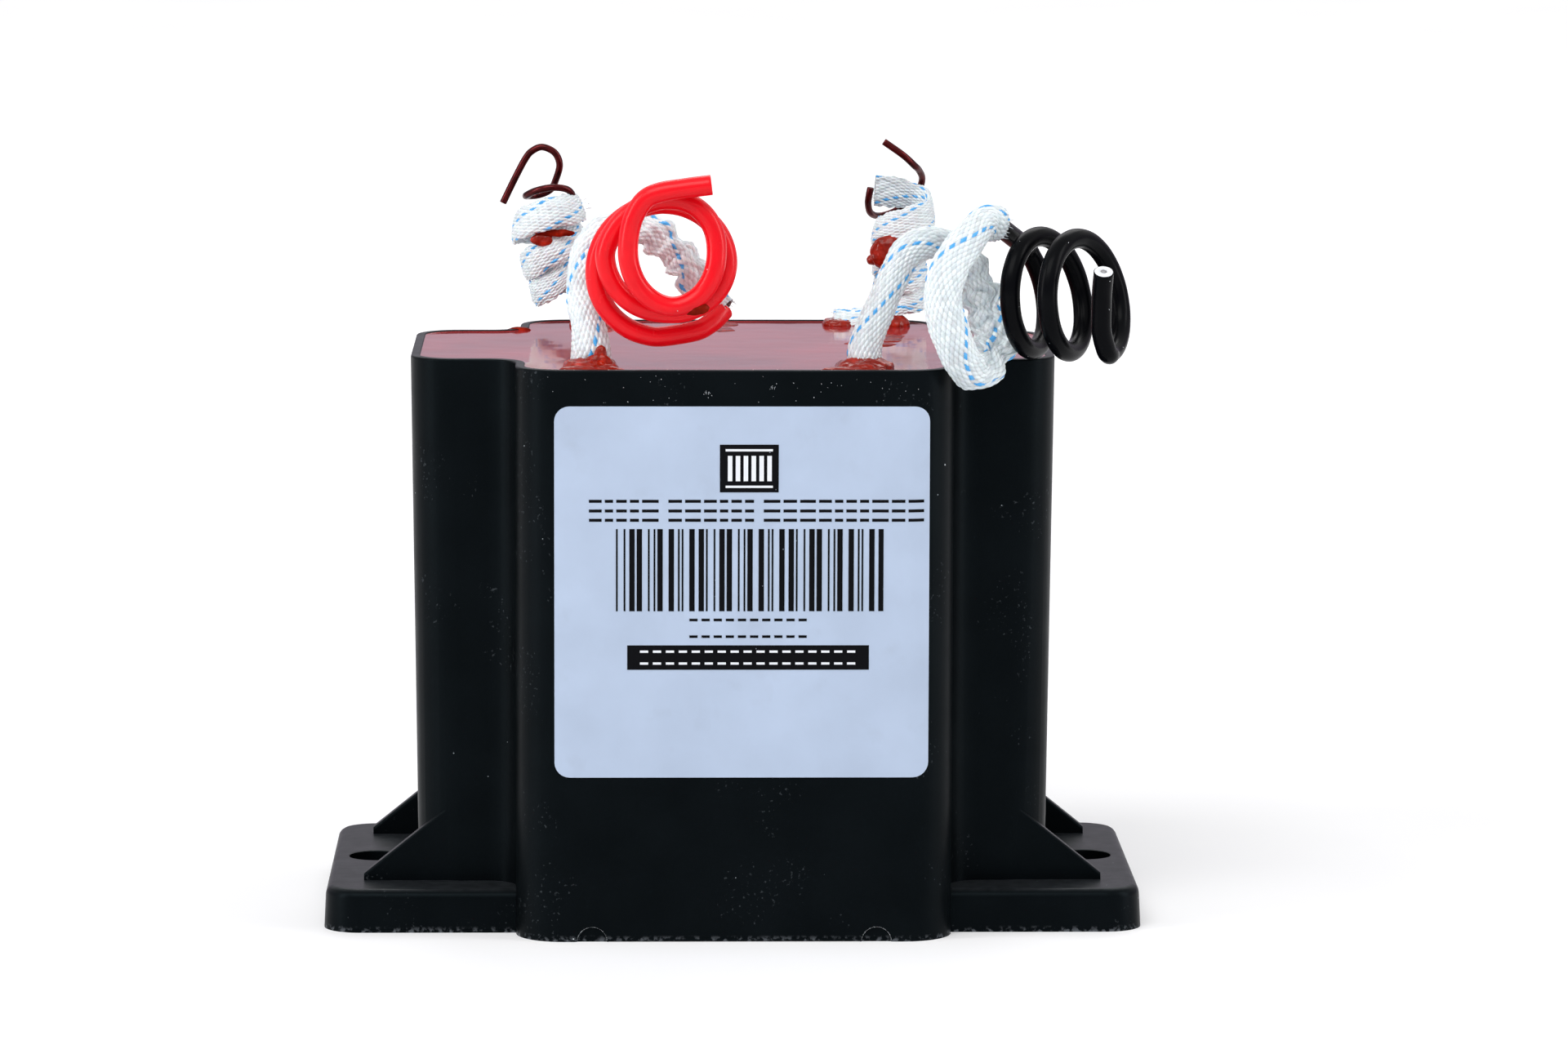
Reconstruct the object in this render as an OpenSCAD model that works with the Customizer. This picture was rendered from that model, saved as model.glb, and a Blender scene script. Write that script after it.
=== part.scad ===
// High-voltage pulse transformer, potted in a moulded case with four flying leads.
// Millimetres. The origin is the middle of the case's base, Z is up and the label faces -Y.

/* [Case] */
// Wall thickness of the case
case_wall = 1.6; // [1:0.1:2.2]
// Floor thickness of the case
case_floor = 2.6; // [1.5:0.1:4]
// Resin between the core's tape and the ends of the two lobes
end_fill = 1.7; // [0.5:0.1:5]
// Resin between the laminations and the sides of the lobes
side_fill = 1.5; // [0.5:0.1:5]
// Resin between the coil and the ends of the deeper middle block
coil_end_fill = 2.2; // [0.5:0.1:5]
// Resin between the coil and the front and back of the middle block
coil_side_fill = 3.2; // [1.5:0.1:8]
// Resin above the core
top_fill = 8.1; // [5:0.1:20]
// Draft of the lobe ends, in degrees
end_draft = 0.7; // [0:0.1:1.5]
// Plan radius of the lobe corners
lobe_r = 6; // [4:0.5:9]
// Plan radius of the middle block's corners
block_r = 6.5; // [3:0.5:9]
// Plan radius of the hollow where a lobe meets the middle block
hollow_r = 4; // [2:0.5:4.5]
// Width of the mark that each sprue left at the front of the base
gate_w = 3.9; // [2:0.1:6]
// Depth of the sprue marks
gate_depth = 0.3; // [0.1:0.1:0.6]
// Distance between the two sprue marks
gate_span = 38.2; // [20:0.2:42]

/* [Mounting flange] */
// How far the flange reaches past each end of the case
flange_reach = 12.7; // [11.5:0.1:20]
// How far the flange reaches past the sides of the lobes
flange_side = 7.5; // [3:0.1:12]
// Thickness of the flange
flange_t = 5.8; // [3:0.1:9]
// Plan radius of the flange corners
flange_r = 5; // [2:0.5:8]
// Rounding of the flange's top edge
flange_edge_r = 1.2; // [0.5:0.1:2]
// Draft of the flange's sides, in degrees
flange_draft = 3; // [0:0.5:5]
// Distance from a fixing hole's middle to the end of the flange
hole_inset = 6.4; // [5.5:0.1:8]
// Diameter of the fixing holes
hole_dia = 7.5; // [4:0.1:8]
// Radius of the cove where a lobe's end stands on the flange
root_r = 1.5; // [0.5:0.1:2.5]
// Thickness of each gusset rib
rib_t = 2.3; // [1.5:0.1:3.5]
// Setback of a rib from the flat face of the lobe
rib_setback = 0.3; // [0.2:0.1:1]
// Slope of a rib's top edge, in degrees
rib_slope = 41; // [35:1:50]
// Distance from a rib's toe to the end of the flange
rib_toe = 5.3; // [3:0.1:8]

/* [Core] */
// Width of the core's outer legs and yokes, half that of its middle leg
leg_w = 13; // [11:0.1:16]
// Height of the window, which is the length of the legs
window_h = 39; // [34:0.5:50]
// Stack of the laminations, front to back
stack = 33; // [30:0.5:40]
// Thickness of the tape round the core
core_tape_t = 0.5; // [0.2:0.1:0.8]
// Width of the tape round the core
core_tape_w = 12; // [6:1:20]

/* [Coil] */
// Clearance between the core's middle leg and the coil former
former_fit = 0.3; // [0.1:0.1:0.5]
// Wall of the coil former
former_wall = 1; // [0.6:0.1:1.2]
// Gap between the former's flanges and the core's outer legs
former_gap = 0.4; // [0.2:0.1:0.8]
// Depth of the primary winding
primary_t = 2.9; // [2:0.1:3.2]
// Thickness of the barrier wrap between the windings
barrier_t = 1; // [0.5:0.1:1.2]
// Wall of the sectioned former and of its dividing discs
section_wall = 1; // [0.6:0.1:1.2]
// Depth of the secondary winding in each section
secondary_t = 4.2; // [3:0.1:4.4]
// How far a dividing disc stands above the winding
disc_rise = 0.6; // [0.3:0.1:1]
// Thickness of the wrap round the whole coil
outer_wrap_t = 0.5; // [0.2:0.1:0.6]
// How far the coil former's flanges stand out past that wrap
wrap_gap = 1.1; // [0.3:0.1:2]
// Number of sections in the secondary
section_count = 5; // [5:1:5]

/* [Potting and label] */
// How far the resin lies below the rim
resin_drop = 0.5; // [0.5:0.1:3]
// Side of the square label
label_size = 50; // [40:1:52]
// Thickness of the label
label_t = 0.1; // [0.05:0.05:0.3]
// Corner radius of the label
label_r = 2; // [1:0.5:4]
// Distance from the rim down to the label's top edge
label_drop = 4.8; // [2:0.1:10]
// Offset of the label's centre from the middle of the case
label_x = 0.9; // [-2:0.1:2]
// Height of the sealant round each lead where it leaves the resin
dab_h = 1.4; // [0.5:0.1:3]
// Width of that collar of sealant beyond the sleeve
dab_w = 1.8; // [1:0.1:2]
// Height of the puddle under the sleeve that lies on the resin
puddle_h = 0.4; // [0.2:0.1:0.8]
// Width of that puddle round its wire
puddle_w = 2.6; // [1.5:0.1:3]
// Distance from the front or back of the case to the middle of a lead's foot
foot_inset = 6.4; // [6:0.1:8]

/* [Leads] */
// Diameter of the braided sleeve on the two high-voltage leads
sleeve_dia = 5; // [4:0.1:5.4]
// Diameter of the braided sleeve on the two primary leads
small_sleeve_dia = 4; // [3:0.1:4.2]
// Diameter of the insulated high-voltage wire
hv_wire_dia = 2.7; // [2:0.1:3]
// Diameter of the hole that the conductor fills in that wire
conductor_dia = 0.9; // [0.5:0.1:1.2]
// Diameter of the enamelled copper wire
copper_dia = 1; // [0.6:0.05:1.2]
// Diameter of the joint sleeves in the resin
splice_dia = 3.6; // [3:0.1:4]
// Length of the joint sleeves in the resin
splice_l = 8; // [5:0.5:12]

/* [Hidden] */
$fn = 48;

// Steps in a small rounding or cove
arc_steps = 5;
// Overlap that lets joined shapes fuse, and by which a cut runs past a face
eps = 0.5;
// How far a hollow runs in under the flat face of its lobe
tuck = 0.02;
cord_sides = 8;

black_plastic = "#16191b";
resin_red = "#a63328";
sealant_red = "#9c2d22";
iron_grey = "#6f7378";
tape_cream = "#d8c58c";
former_cream = "#e8e2cf";
copper_brown = "#8c3b22";
barrier_amber = "#c9903a";
wrap_yellow = "#e0cf6a";
label_white = "#dfe4ee";
braid_white = "#e9ecee";
wire_red = "#f0141e";
wire_black = "#15171a";
enamel_maroon = "#3a1114";
bare_copper = "#b8734a";

// The core, which stands on its tape on the case floor, with windows for the coil
window_w = former_fit + former_wall + primary_t + barrier_t + section_wall
    + secondary_t + disc_rise + outer_wrap_t + wrap_gap + former_gap;
core_l = 4*leg_w + 2*window_w;
core_z = case_floor + core_tape_t;
window_z = core_z + leg_w;
yoke_z = window_z + window_h;
core_top_z = yoke_z + leg_w;

// Half sizes of the coil's layers, worked out from the middle leg
former_in = [leg_w + former_fit, stack/2 + former_fit];
primary_in = grow(former_in, former_wall);
barrier_in = grow(primary_in, primary_t);
section_in = grow(barrier_in, barrier_t);
secondary_in = grow(section_in, section_wall);
secondary_out = grow(secondary_in, secondary_t);
wrap_in = grow(secondary_out, disc_rise);
wrap_out = grow(wrap_in, outer_wrap_t);
former_out = grow([leg_w, stack/2], window_w - former_gap);
former_h = window_h - former_gap;
bay_z = window_z + former_wall;
bay_h = former_h - 2*former_wall;
section_h = (bay_h - (section_count + 1)*section_wall)/section_count;
coil_top_z = window_z + former_h;
corner_r = 0.8;

// The case, whose lobes wrap the outer legs and whose middle block wraps the coil
body_l = core_l + 2*(core_tape_t + end_fill + case_wall);
lobe_d = stack + 2*(side_fill + case_wall);
block_l = 2*(former_out[0] + coil_end_fill + case_wall);
block_d = 2*(former_out[1] + coil_side_fill + case_wall);
resin_z = core_top_z + core_tape_t + top_fill;
case_h = resin_z + resin_drop;
face_y = -block_d/2;
draft_run = tan(end_draft);

// The flange with its holes, and the label
flange_l = body_l + 2*flange_reach;
flange_d = lobe_d + 2*flange_side;
hole_span = flange_l - 2*hole_inset;
label_z = case_h - label_drop - label_size/2;

// Feet of the four leads on the resin
red_foot = [-19.5, face_y + foot_inset];
black_foot = [17.5, face_y + foot_inset];
left_foot = [-19, -face_y - foot_inset];
right_foot = [16, -face_y - foot_inset];

// Routes of the leads, from the resin to their ends
red_sleeve_route = [[red_foot[0], red_foot[1], resin_z], [-19.5, -27.5, 80.5],
    [-20, -26, 85], [-20, -24.5, 90], [-18.5, -24, 94], [-15, -23.5, 95.5],
    [-11.5, -23.5, 95], [-8.5, -23.5, 92.5], [-6, -24.2, 90], [-4.5, -25.3, 87],
    [-1.5, -26.5, 84.5]];
black_sleeve_route = [[black_foot[0], black_foot[1], resin_z], [17.5, -27.5, 80],
    [19.5, -27.2, 85], [21.5, -27, 89.5], [23.5, -26.5, 93], [27, -25, 94],
    [30.5, -23.5, 92], [33.5, -23.5, 87.5], [35, -24.5, 83], [35.5, -26.5, 79],
    [33.5, -30.5, 76], [31, -33, 77.5], [29, -34, 81.5], [27.5, -34, 86.5],
    [28.5, -33, 91], [31.5, -30.5, 95], [34, -27.5, 96.5], [36, -25, 95.5]];
black_start_route = [[36, -25, 95.5], [37.2, -23.5, 94.9], [38.6, -21.6, 94.2],
    [40, -19.8, 93.2], [41.3, -18.3, 91.8]];
left_foot_route = [[left_foot[0], left_foot[1], resin_z], [-19, 27.5, 79.5],
    [-19.3, 27.8, 83]];
right_foot_route = [[15, 28.5, 79.2], [17.5, 29, 79.2], [20.4, 30.1, 79.9]];
left_copper_route = [[-22.6, 30, 94.3], [-22.1, 29.8, 95.2], [-22.9, 28.8, 96.2],
    [-25, 28, 96.5], [-27.2, 28.6, 96], [-28.6, 30.3, 95.2], [-28.4, 32.4, 94.9],
    [-26.8, 33.6, 95], [-25.2, 33, 95.8], [-24.4, 32, 97.4], [-23.9, 31.3, 99.5],
    [-24.6, 31, 101.2], [-26.3, 31, 102], [-27.7, 31, 101.5], [-28.7, 31, 100.4],
    [-30.3, 31, 97.4], [-31.9, 31, 94.1]];
right_copper_route = [[20.2, 31, 96.2], [20, 31.2, 95.2], [19.9, 32, 94.1],
    [20.3, 33.4, 93], [21.5, 35.3, 92.5], [23.5, 36.3, 92.8], [25.6, 36.4, 93.8],
    [27.2, 36, 95.4], [27.7, 35.2, 97.2], [27.2, 33.6, 98.5], [26.4, 32, 99.4],
    [24.8, 31, 100.9], [22.1, 31, 102.8]];

// The red coil: middle of its ring, radius to the middle of the wire and depth
red_coil_at = [-8.8, -32.4, 92];
red_coil_r = 8.5;
red_coil_l = 3.6;
red_coil_w = 3.4;
red_end_from = [-9.6, -37.3, 101.4];
red_end_to = [-3.3, -37.3, 102.2];

// The black coil: middle of its axis, bearing of the axis, radius and length
black_coil_at = [45.4, -26.65, 86.6];
black_coil_turn = -30;
black_coil_r = 7.75;
black_coil_l = 9.6;
black_end_from = [48.8, -32, 83.4];
black_end_to = [48.7, -33, 90.7];

// The two bundles that the primary sleeves are wound into
left_bundle_at = [-25, 31, 81.5];
left_bundle_l = 11;
left_bundle_r = [2.7, 3.6];
right_bundle_at = [25, 31, 81.2];
right_bundle_l = 14.3;
right_bundle_r = [2.7, 2.7];
bundle_wall = 3;

// Half sizes made larger by the same amount each way
function grow(half, by) = [half[0] + by, half[1] + by];

// Points of an arc about a centre, from angle a0 to a1
function arc(centre, r, a0, a1) =
    [for (i = [0:arc_steps]) let (a = a0 + (a1 - a0)*i/arc_steps) centre + r*[cos(a), sin(a)]];

// Solid through a list of rings with equally many points
module skin(rings) {
    n = len(rings[0]);
    tops = [for (k = [0:len(rings) - 2]) k*n];
    polyhedron(
        points = [for (ring = rings) for (p = ring) p],
        faces = concat(
            [[for (i = [0:n - 1]) i]],
            [for (k = tops) for (i = [0:n - 1]) let (j = (i + 1) % n)
                each [[k + i, k + n + i, k + n + j], [k + i, k + n + j, k + j]]],
            [[for (i = [n - 1:-1:0]) (len(rings) - 1)*n + i]]),
        convexity = 6);
}

function unit(v) = v/norm(v);

// Directions of a route at its points
function tangents(route) = let (last = len(route) - 1)
    [for (i = [0:last]) unit(route[min(i + 1, last)] - route[max(i - 1, 0)])];

// Side vectors carried along a route without a sudden twist
function sides_along(along, side, i = 0) = i == len(along) ? [] :
    let (here = unit(side - (side*along[i])*along[i]))
    concat([here], sides_along(along, here, i + 1));

// Plain tube swept along a route
module cord(route, dia, side = [0, 1, 0]) {
    along = tangents(route);
    across = sides_along(along, side);
    skin([for (i = [0:len(route) - 1])
        [for (k = [0:cord_sides - 1]) let (a = 360*k/cord_sides)
            route[i] + dia/2*(cos(a)*across[i] + sin(a)*cross(along[i], across[i]))]]);
}

// Straight round bar between two points
module bar(from, to, dia) {
    run = to - from;
    translate(from) rotate([0, acos(run[2]/norm(run)), atan2(run[1], run[0])])
        cylinder(d = dia, h = norm(run));
}

// Flat shape with round ends, dia wide, reaching length beyond its first centre
module capsule(length, dia) {
    translate([-dia/2, 0]) square([dia, length]);
    circle(d = dia);
    translate([0, length]) circle(d = dia);
}

// Closed ring of a coil's outer shape, standing on its axis
module coil_ring(r, length, width) {
    rotate_extrude() translate([r, 0]) capsule(length, width);
}

// Rectangle with round corners, given by its half sizes
module rounded_rect(half, r) {
    square([2*half[0], 2*half[1] - 2*r], center = true);
    square([2*half[0] - 2*r, 2*half[1]], center = true);
    for (sx = [-1, 1]) for (sy = [-1, 1])
        translate([sx*(half[0] - r), sy*(half[1] - r)]) circle(r = r);
}

// Rectangular ring round the middle leg between two layers' half sizes
module layer(inner, outer, h) {
    linear_extrude(h) difference() {
        rounded_rect(outer, corner_r + outer[0] - former_in[0]);
        rounded_rect(inner, corner_r + inner[0] - former_in[0]);
    }
}

// Section of the flange across a width, with leaning sides and rounded top edges
module flange_section(width) {
    flat_z = flange_t - flange_edge_r;
    top_x = width/2 - flat_z*tan(flange_draft) - flange_edge_r;
    right = arc([top_x, flat_z], flange_edge_r, 0, 90);
    polygon(concat(
        [[-width/2, 0], [width/2, 0]],
        right,
        [for (i = [arc_steps:-1:0]) [-right[i][0], right[i][1]]]));
}

module flange_plate() {
    intersection() {
        linear_extrude(flange_t) rounded_rect([flange_l/2, flange_d/2], flange_r);
        translate([0, flange_d/2, 0]) rotate([90, 0, 0])
            linear_extrude(flange_d) flange_section(flange_l);
        translate([-flange_l/2, 0, 0]) rotate([90, 0, 90])
            linear_extrude(flange_l) flange_section(flange_d);
    }
}

// Plan of the middle block, with the hollows that lead into the lobes
module cross_plan(out) {
    block_x = block_l/2 + out;
    lobe_y = lobe_d/2 + out - tuck;
    r = hollow_r - out;
    rounded_rect([block_x, block_d/2 + out], block_r + out);
    square([2*(block_x + r), 2*lobe_y], center = true);
    for (sx = [0, 1]) for (sy = [0, 1]) mirror([sx, 0]) mirror([0, sy])
        translate([block_x, lobe_y]) difference() {
            translate([-r, -r]) square(2*r);
            translate([r, r]) circle(r = r);
        }
}

// Plan of the right lobe, from the middle of the case
module lobe_plan(out) {
    x = body_l/2 + out;
    y = lobe_d/2 + out;
    r = lobe_r + out;
    translate([0, -y]) square([x - r, 2*y]);
    translate([0, r - y]) square([x, 2*y - 2*r]);
    for (side = [-1, 1]) translate([x - r, side*(y - r)]) circle(r = r);
}

// Stepped body between two heights, offset outwards by out, with leaning ends
module body(from_z, to_z, out = 0) {
    room = body_l*sin(end_draft) + eps;
    translate([0, 0, from_z]) linear_extrude(to_z - from_z) cross_plan(out);
    intersection() {
        for (side = [0, 1]) mirror([side, 0, 0]) rotate([0, end_draft, 0])
            translate([0, 0, from_z - room]) linear_extrude(to_z - from_z + 2*room)
                lobe_plan(out);
        translate([-body_l, -block_d, from_z]) cube([2*body_l, 2*block_d, to_z - from_z]);
    }
}

module rib() {
    toe_x = flange_l/2 - rib_toe;
    heel_x = body_l/2 - lobe_r;
    rotate([90, 0, 0]) linear_extrude(rib_t)
        polygon([[heel_x, flange_t - eps], [toe_x + eps/tan(rib_slope), flange_t - eps],
                 [heel_x, flange_t + (toe_x - heel_x)*tan(rib_slope)]]);
}

// Cove along the foot of the lobe's end, between its two ribs
module end_cove() {
    foot_x = body_l/2 + flange_t*draft_run;
    half_y = lobe_d/2 - rib_setback - rib_t/2;
    translate([0, half_y, 0]) rotate([90, 0, 0]) linear_extrude(2*half_y)
        polygon(concat(
            [[foot_x - eps, flange_t + root_r], [foot_x - eps, flange_t - eps],
             [foot_x + root_r, flange_t - eps]],
            arc([foot_x + root_r, flange_t + root_r], root_r, 270, 180)));
}

module ribs() {
    outer_y = lobe_d/2 - rib_setback;
    for (side = [0, 1]) mirror([side, 0, 0]) {
        translate([0, outer_y, 0]) rib();
        translate([0, rib_t - outer_y, 0]) rib();
        end_cove();
    }
}

module case() {
    color(black_plastic) difference() {
        union() {
            flange_plate();
            body(0, case_h);
            ribs();
        }
        body(case_floor, case_h + eps, -case_wall);
        for (side = [-1, 1]) {
            translate([side*hole_span/2, 0, -eps])
                cylinder(d = hole_dia, h = flange_t + root_r + 2*eps);
            translate([side*gate_span/2, face_y + gate_depth, 0]) rotate([90, 0, 0])
                cylinder(d = gate_w, h = gate_depth + eps);
        }
    }
}

// Room that the resin leaves for the core, its tape, the coil and the leads
module embedded() {
    core_h = core_top_z - core_z;
    translate([-core_l/2, -stack/2, core_z]) cube([core_l, stack, core_h]);
    translate([-core_l/2 - core_tape_t, -core_tape_w/2, case_floor])
        cube([core_l + 2*core_tape_t, core_tape_w, core_h + 2*core_tape_t]);
    translate([0, 0, window_z]) linear_extrude(former_h) rounded_rect(former_out, corner_r);
    hv_splices();
    red_lead_tail();
    black_lead_tail();
    left_copper_tail();
    right_copper_tail();
}

module potting_resin() {
    color(resin_red) difference() {
        body(case_floor, resin_z, -case_wall);
        embedded();
    }
}

module core_e_stack() {
    color(iron_grey) translate([0, stack/2, core_z]) rotate([90, 0, 0])
        linear_extrude(stack) difference() {
            translate([-core_l/2, 0]) square([core_l, leg_w + window_h]);
            for (side = [-1, 1])
                translate([side*(leg_w + window_w/2) - window_w/2, leg_w])
                    square([window_w, window_h + eps]);
        }
}

module core_i_stack() {
    color(iron_grey) translate([-core_l/2, -stack/2, yoke_z]) cube([core_l, stack, leg_w]);
}

module core_tape() {
    core_h = core_top_z - core_z;
    color(tape_cream) translate([0, core_tape_w/2, core_z + core_h/2]) rotate([90, 0, 0])
        linear_extrude(core_tape_w) difference() {
            square([core_l + 2*core_tape_t, core_h + 2*core_tape_t], center = true);
            square([core_l, core_h], center = true);
        }
}

module coil_former() {
    color(former_cream) translate([0, 0, window_z]) {
        layer(former_in, primary_in, former_h);
        for (z = [0, former_h - former_wall]) translate([0, 0, z])
            linear_extrude(former_wall) difference() {
                rounded_rect(former_out, corner_r);
                rounded_rect(former_in, corner_r);
            }
    }
}

module primary_winding() {
    color(copper_brown) translate([0, 0, bay_z]) layer(primary_in, barrier_in, bay_h);
}

module barrier_wrap() {
    color(barrier_amber) translate([0, 0, bay_z]) layer(barrier_in, section_in, bay_h);
}

module sectioned_former() {
    color(former_cream) translate([0, 0, bay_z]) {
        layer(section_in, secondary_in, bay_h);
        for (i = [0:section_count])
            translate([0, 0, i*(section_h + section_wall)])
                layer(section_in, wrap_in, section_wall);
    }
}

module secondary_section(i) {
    color(copper_brown)
        translate([0, 0, bay_z + section_wall + (i - 1)*(section_h + section_wall)])
            layer(secondary_in, secondary_out, section_h);
}

module outer_wrap() {
    color(wrap_yellow) translate([0, 0, bay_z]) layer(wrap_in, wrap_out, bay_h);
}

module hv_splices() {
    color(former_cream) for (foot = [red_foot, black_foot])
        translate([foot[0], foot[1], coil_top_z]) cylinder(d = splice_dia, h = splice_l);
}

module lead_tail(foot, from_z, dia) {
    translate([foot[0], foot[1], from_z]) cylinder(d = dia, h = resin_z - from_z);
}

module red_lead_tail() {
    color(wire_red) lead_tail(red_foot, coil_top_z + splice_l, hv_wire_dia);
}

module black_lead_tail() {
    color(wire_black) lead_tail(black_foot, coil_top_z + splice_l, hv_wire_dia);
}

module left_copper_tail() {
    color(enamel_maroon) lead_tail(left_foot, coil_top_z, copper_dia);
}

module right_copper_tail() {
    color(enamel_maroon) lead_tail(right_foot, coil_top_z, copper_dia);
}

// The label lies flat on the front and bends with the middle block's corners
module front_label() {
    color(label_white) intersection() {
        translate([0, 0, label_z - label_size/2]) linear_extrude(label_size) difference() {
            rounded_rect([block_l/2 + label_t, block_d/2 + label_t], block_r + label_t);
            rounded_rect([block_l/2, block_d/2], block_r);
        }
        translate([label_x, face_y + block_r, label_z]) rotate([90, 0, 0])
            linear_extrude(block_r + eps) rounded_rect([label_size/2, label_size/2], label_r);
    }
}

// Sealant round a lead of diameter dia, w wide and h high
module dab(foot, dia, w, h) {
    inner = dia/2;
    translate([foot[0], foot[1], resin_z]) rotate_extrude()
        polygon([[inner, 0], [inner + w, 0], [inner + w*0.6, h*0.6], [inner, h]]);
}

module sealant_dabs() {
    color(sealant_red) {
        dab(red_foot, sleeve_dia, dab_w, dab_h);
        dab(black_foot, sleeve_dia, dab_w, dab_h);
        dab(left_foot, small_sleeve_dia, dab_w, dab_h);
        dab(right_foot, copper_dia, puddle_w, puddle_h);
    }
}

module red_sleeve() {
    color(braid_white) cord(red_sleeve_route, sleeve_dia);
}

module red_wire_coil() {
    color(wire_red) translate(red_coil_at) rotate([90, 0, 0])
        translate([0, 0, -red_coil_l/2]) coil_ring(red_coil_r, red_coil_l, red_coil_w);
}

// Straight end of a wire, drilled for its conductor
module wire_end(from, to) {
    difference() {
        bar(from, to, hv_wire_dia);
        bar(from - eps*unit(to - from), to + eps*unit(to - from), conductor_dia);
    }
}

module red_wire_end() {
    color(wire_red) wire_end(red_end_from, red_end_to);
}

module red_conductor() {
    color(bare_copper) bar(red_end_from, red_end_to, conductor_dia);
}

module black_sleeve() {
    color(braid_white) cord(black_sleeve_route, sleeve_dia);
}

module black_wire_start() {
    color(wire_black) cord(black_start_route, hv_wire_dia);
}

module black_wire_coil() {
    color(wire_black) translate(black_coil_at) rotate([0, 90, black_coil_turn])
        translate([0, 0, -black_coil_l/2])
            coil_ring(black_coil_r, black_coil_l, hv_wire_dia);
}

module black_wire_end() {
    color(wire_black) wire_end(black_end_from, black_end_to);
}

module black_conductor() {
    color(bare_copper) bar(black_end_from, black_end_to, conductor_dia);
}

// Bundle of sleeve turns, wider at its top where r[1] is larger than r[0]
module bundle(at, length, r) {
    lean = atan2(r[1] - r[0], length);
    translate(at) rotate_extrude() translate([r[0], 0]) rotate(-lean)
        capsule(length, bundle_wall);
}

module left_sleeve_foot() {
    color(braid_white) cord(left_foot_route, small_sleeve_dia);
}

module left_sleeve_coil() {
    color(braid_white) bundle(left_bundle_at, left_bundle_l, left_bundle_r);
}

module left_copper_lead() {
    color(enamel_maroon) cord(left_copper_route, copper_dia, [0, 0, 1]);
}

module right_sleeve_foot() {
    color(braid_white) cord(right_foot_route, small_sleeve_dia);
}

module right_sleeve_coil() {
    color(braid_white) bundle(right_bundle_at, right_bundle_l, right_bundle_r);
}

module right_copper_lead() {
    color(enamel_maroon) cord(right_copper_route, copper_dia, [1, 0, 0]);
}

case();
potting_resin();
core_e_stack();
core_i_stack();
core_tape();
coil_former();
primary_winding();
barrier_wrap();
sectioned_former();
secondary_section(1);  // secondary_section_1
secondary_section(2);  // secondary_section_2
secondary_section(3);  // secondary_section_3
secondary_section(4);  // secondary_section_4
secondary_section(5);  // secondary_section_5
outer_wrap();
hv_splices();
red_lead_tail();
black_lead_tail();
left_copper_tail();
right_copper_tail();
front_label();
sealant_dabs();
red_sleeve();
red_wire_coil();
red_wire_end();
red_conductor();
black_sleeve();
black_wire_start();
black_wire_coil();
black_wire_end();
black_conductor();
left_sleeve_foot();
left_sleeve_coil();
left_copper_lead();
right_sleeve_foot();
right_sleeve_coil();
right_copper_lead();
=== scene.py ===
"""A potted high-voltage transformer with four flying leads, dressed for close views."""
import math
import bmesh
import bpy
import numpy as np
from mathutils import Matrix, Vector, noise


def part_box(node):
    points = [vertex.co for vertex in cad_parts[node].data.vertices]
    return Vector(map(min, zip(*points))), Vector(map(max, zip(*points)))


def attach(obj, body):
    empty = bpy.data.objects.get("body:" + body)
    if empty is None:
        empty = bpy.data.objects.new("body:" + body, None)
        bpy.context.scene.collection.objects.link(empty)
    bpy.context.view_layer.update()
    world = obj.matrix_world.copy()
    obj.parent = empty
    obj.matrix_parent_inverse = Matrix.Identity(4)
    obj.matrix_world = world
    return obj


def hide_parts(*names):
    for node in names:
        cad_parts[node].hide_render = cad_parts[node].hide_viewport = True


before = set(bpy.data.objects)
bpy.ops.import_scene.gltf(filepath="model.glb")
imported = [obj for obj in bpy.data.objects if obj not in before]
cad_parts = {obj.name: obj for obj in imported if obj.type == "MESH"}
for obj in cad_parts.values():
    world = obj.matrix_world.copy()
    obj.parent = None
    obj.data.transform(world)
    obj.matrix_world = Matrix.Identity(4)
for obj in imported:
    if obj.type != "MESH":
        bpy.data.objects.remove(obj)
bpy.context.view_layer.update()        # bodies, nodes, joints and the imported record

bl_info = {
    "name": "Potted high-voltage transformer",
    "version": (1, 0, 0),
    "blender": (4, 5, 0),
    "location": "3D View > Sidebar > Transformer",
    "description": "Moulded case, resin, label and four braided leads",
    "category": "Add Mesh",
}

MM = 0.001
NEAR = 1e-5              # places closer than this count as one

# Sizes that follow the solids of the frame, in metres
CASE_LOW, CASE_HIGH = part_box("case")
LABEL_LOW, LABEL_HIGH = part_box("front_label")
RESIN_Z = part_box("potting_resin")[1].z
RIM_Z = CASE_HIGH.z
FACE_Y = CASE_LOW.y

# Small fixed sizes, in metres
END_STEP = 0.0127        # from the flange's end back to a lobe's end at the floor
RIB_TOE = 0.0502         # from the middle out to a rib's toe
RIB_TOE_HEIGHT = 0.0009  # height that is left of a rib at its toe
RIB_INSET = 0.0003       # how far a rib stands back from the lobe's side
RIB_SINK = 0.0008        # how deep a rib reaches into the flange
RIB_ROUND = 0.0004       # rounding of a rib's sloping edges
FLANGE_TAPER = (0.995, 0.99, 1)   # how much smaller the flange is at its top
HOLE_HEIGHT = 0.02       # height of the cutter of a fixing hole
HOLE_ROUND = 0.0003      # rounding of a fixing hole's mouth
GATE_HEIGHT = 0.0016     # height of the cutter of a sprue mark
GATE_BACK = 0.0005       # how far the middle of that cutter lies before the face
GATE_ROUND = 0.00025     # rounding of a sprue mark's mouth
SKIN_SINK = 0.0001       # how deep the resin's skin reaches into its solid
SKIN_RISE = 0.26         # height of that skin above its solid, in millimetres
FILM = 0.0001            # thickness of the label
LABEL_ROUND = 0.002      # radius of the label's corners
INK = 0.00002            # how far print stands out
BEND_STEP = 0.00035      # spacing of the cuts where the label bends

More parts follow.
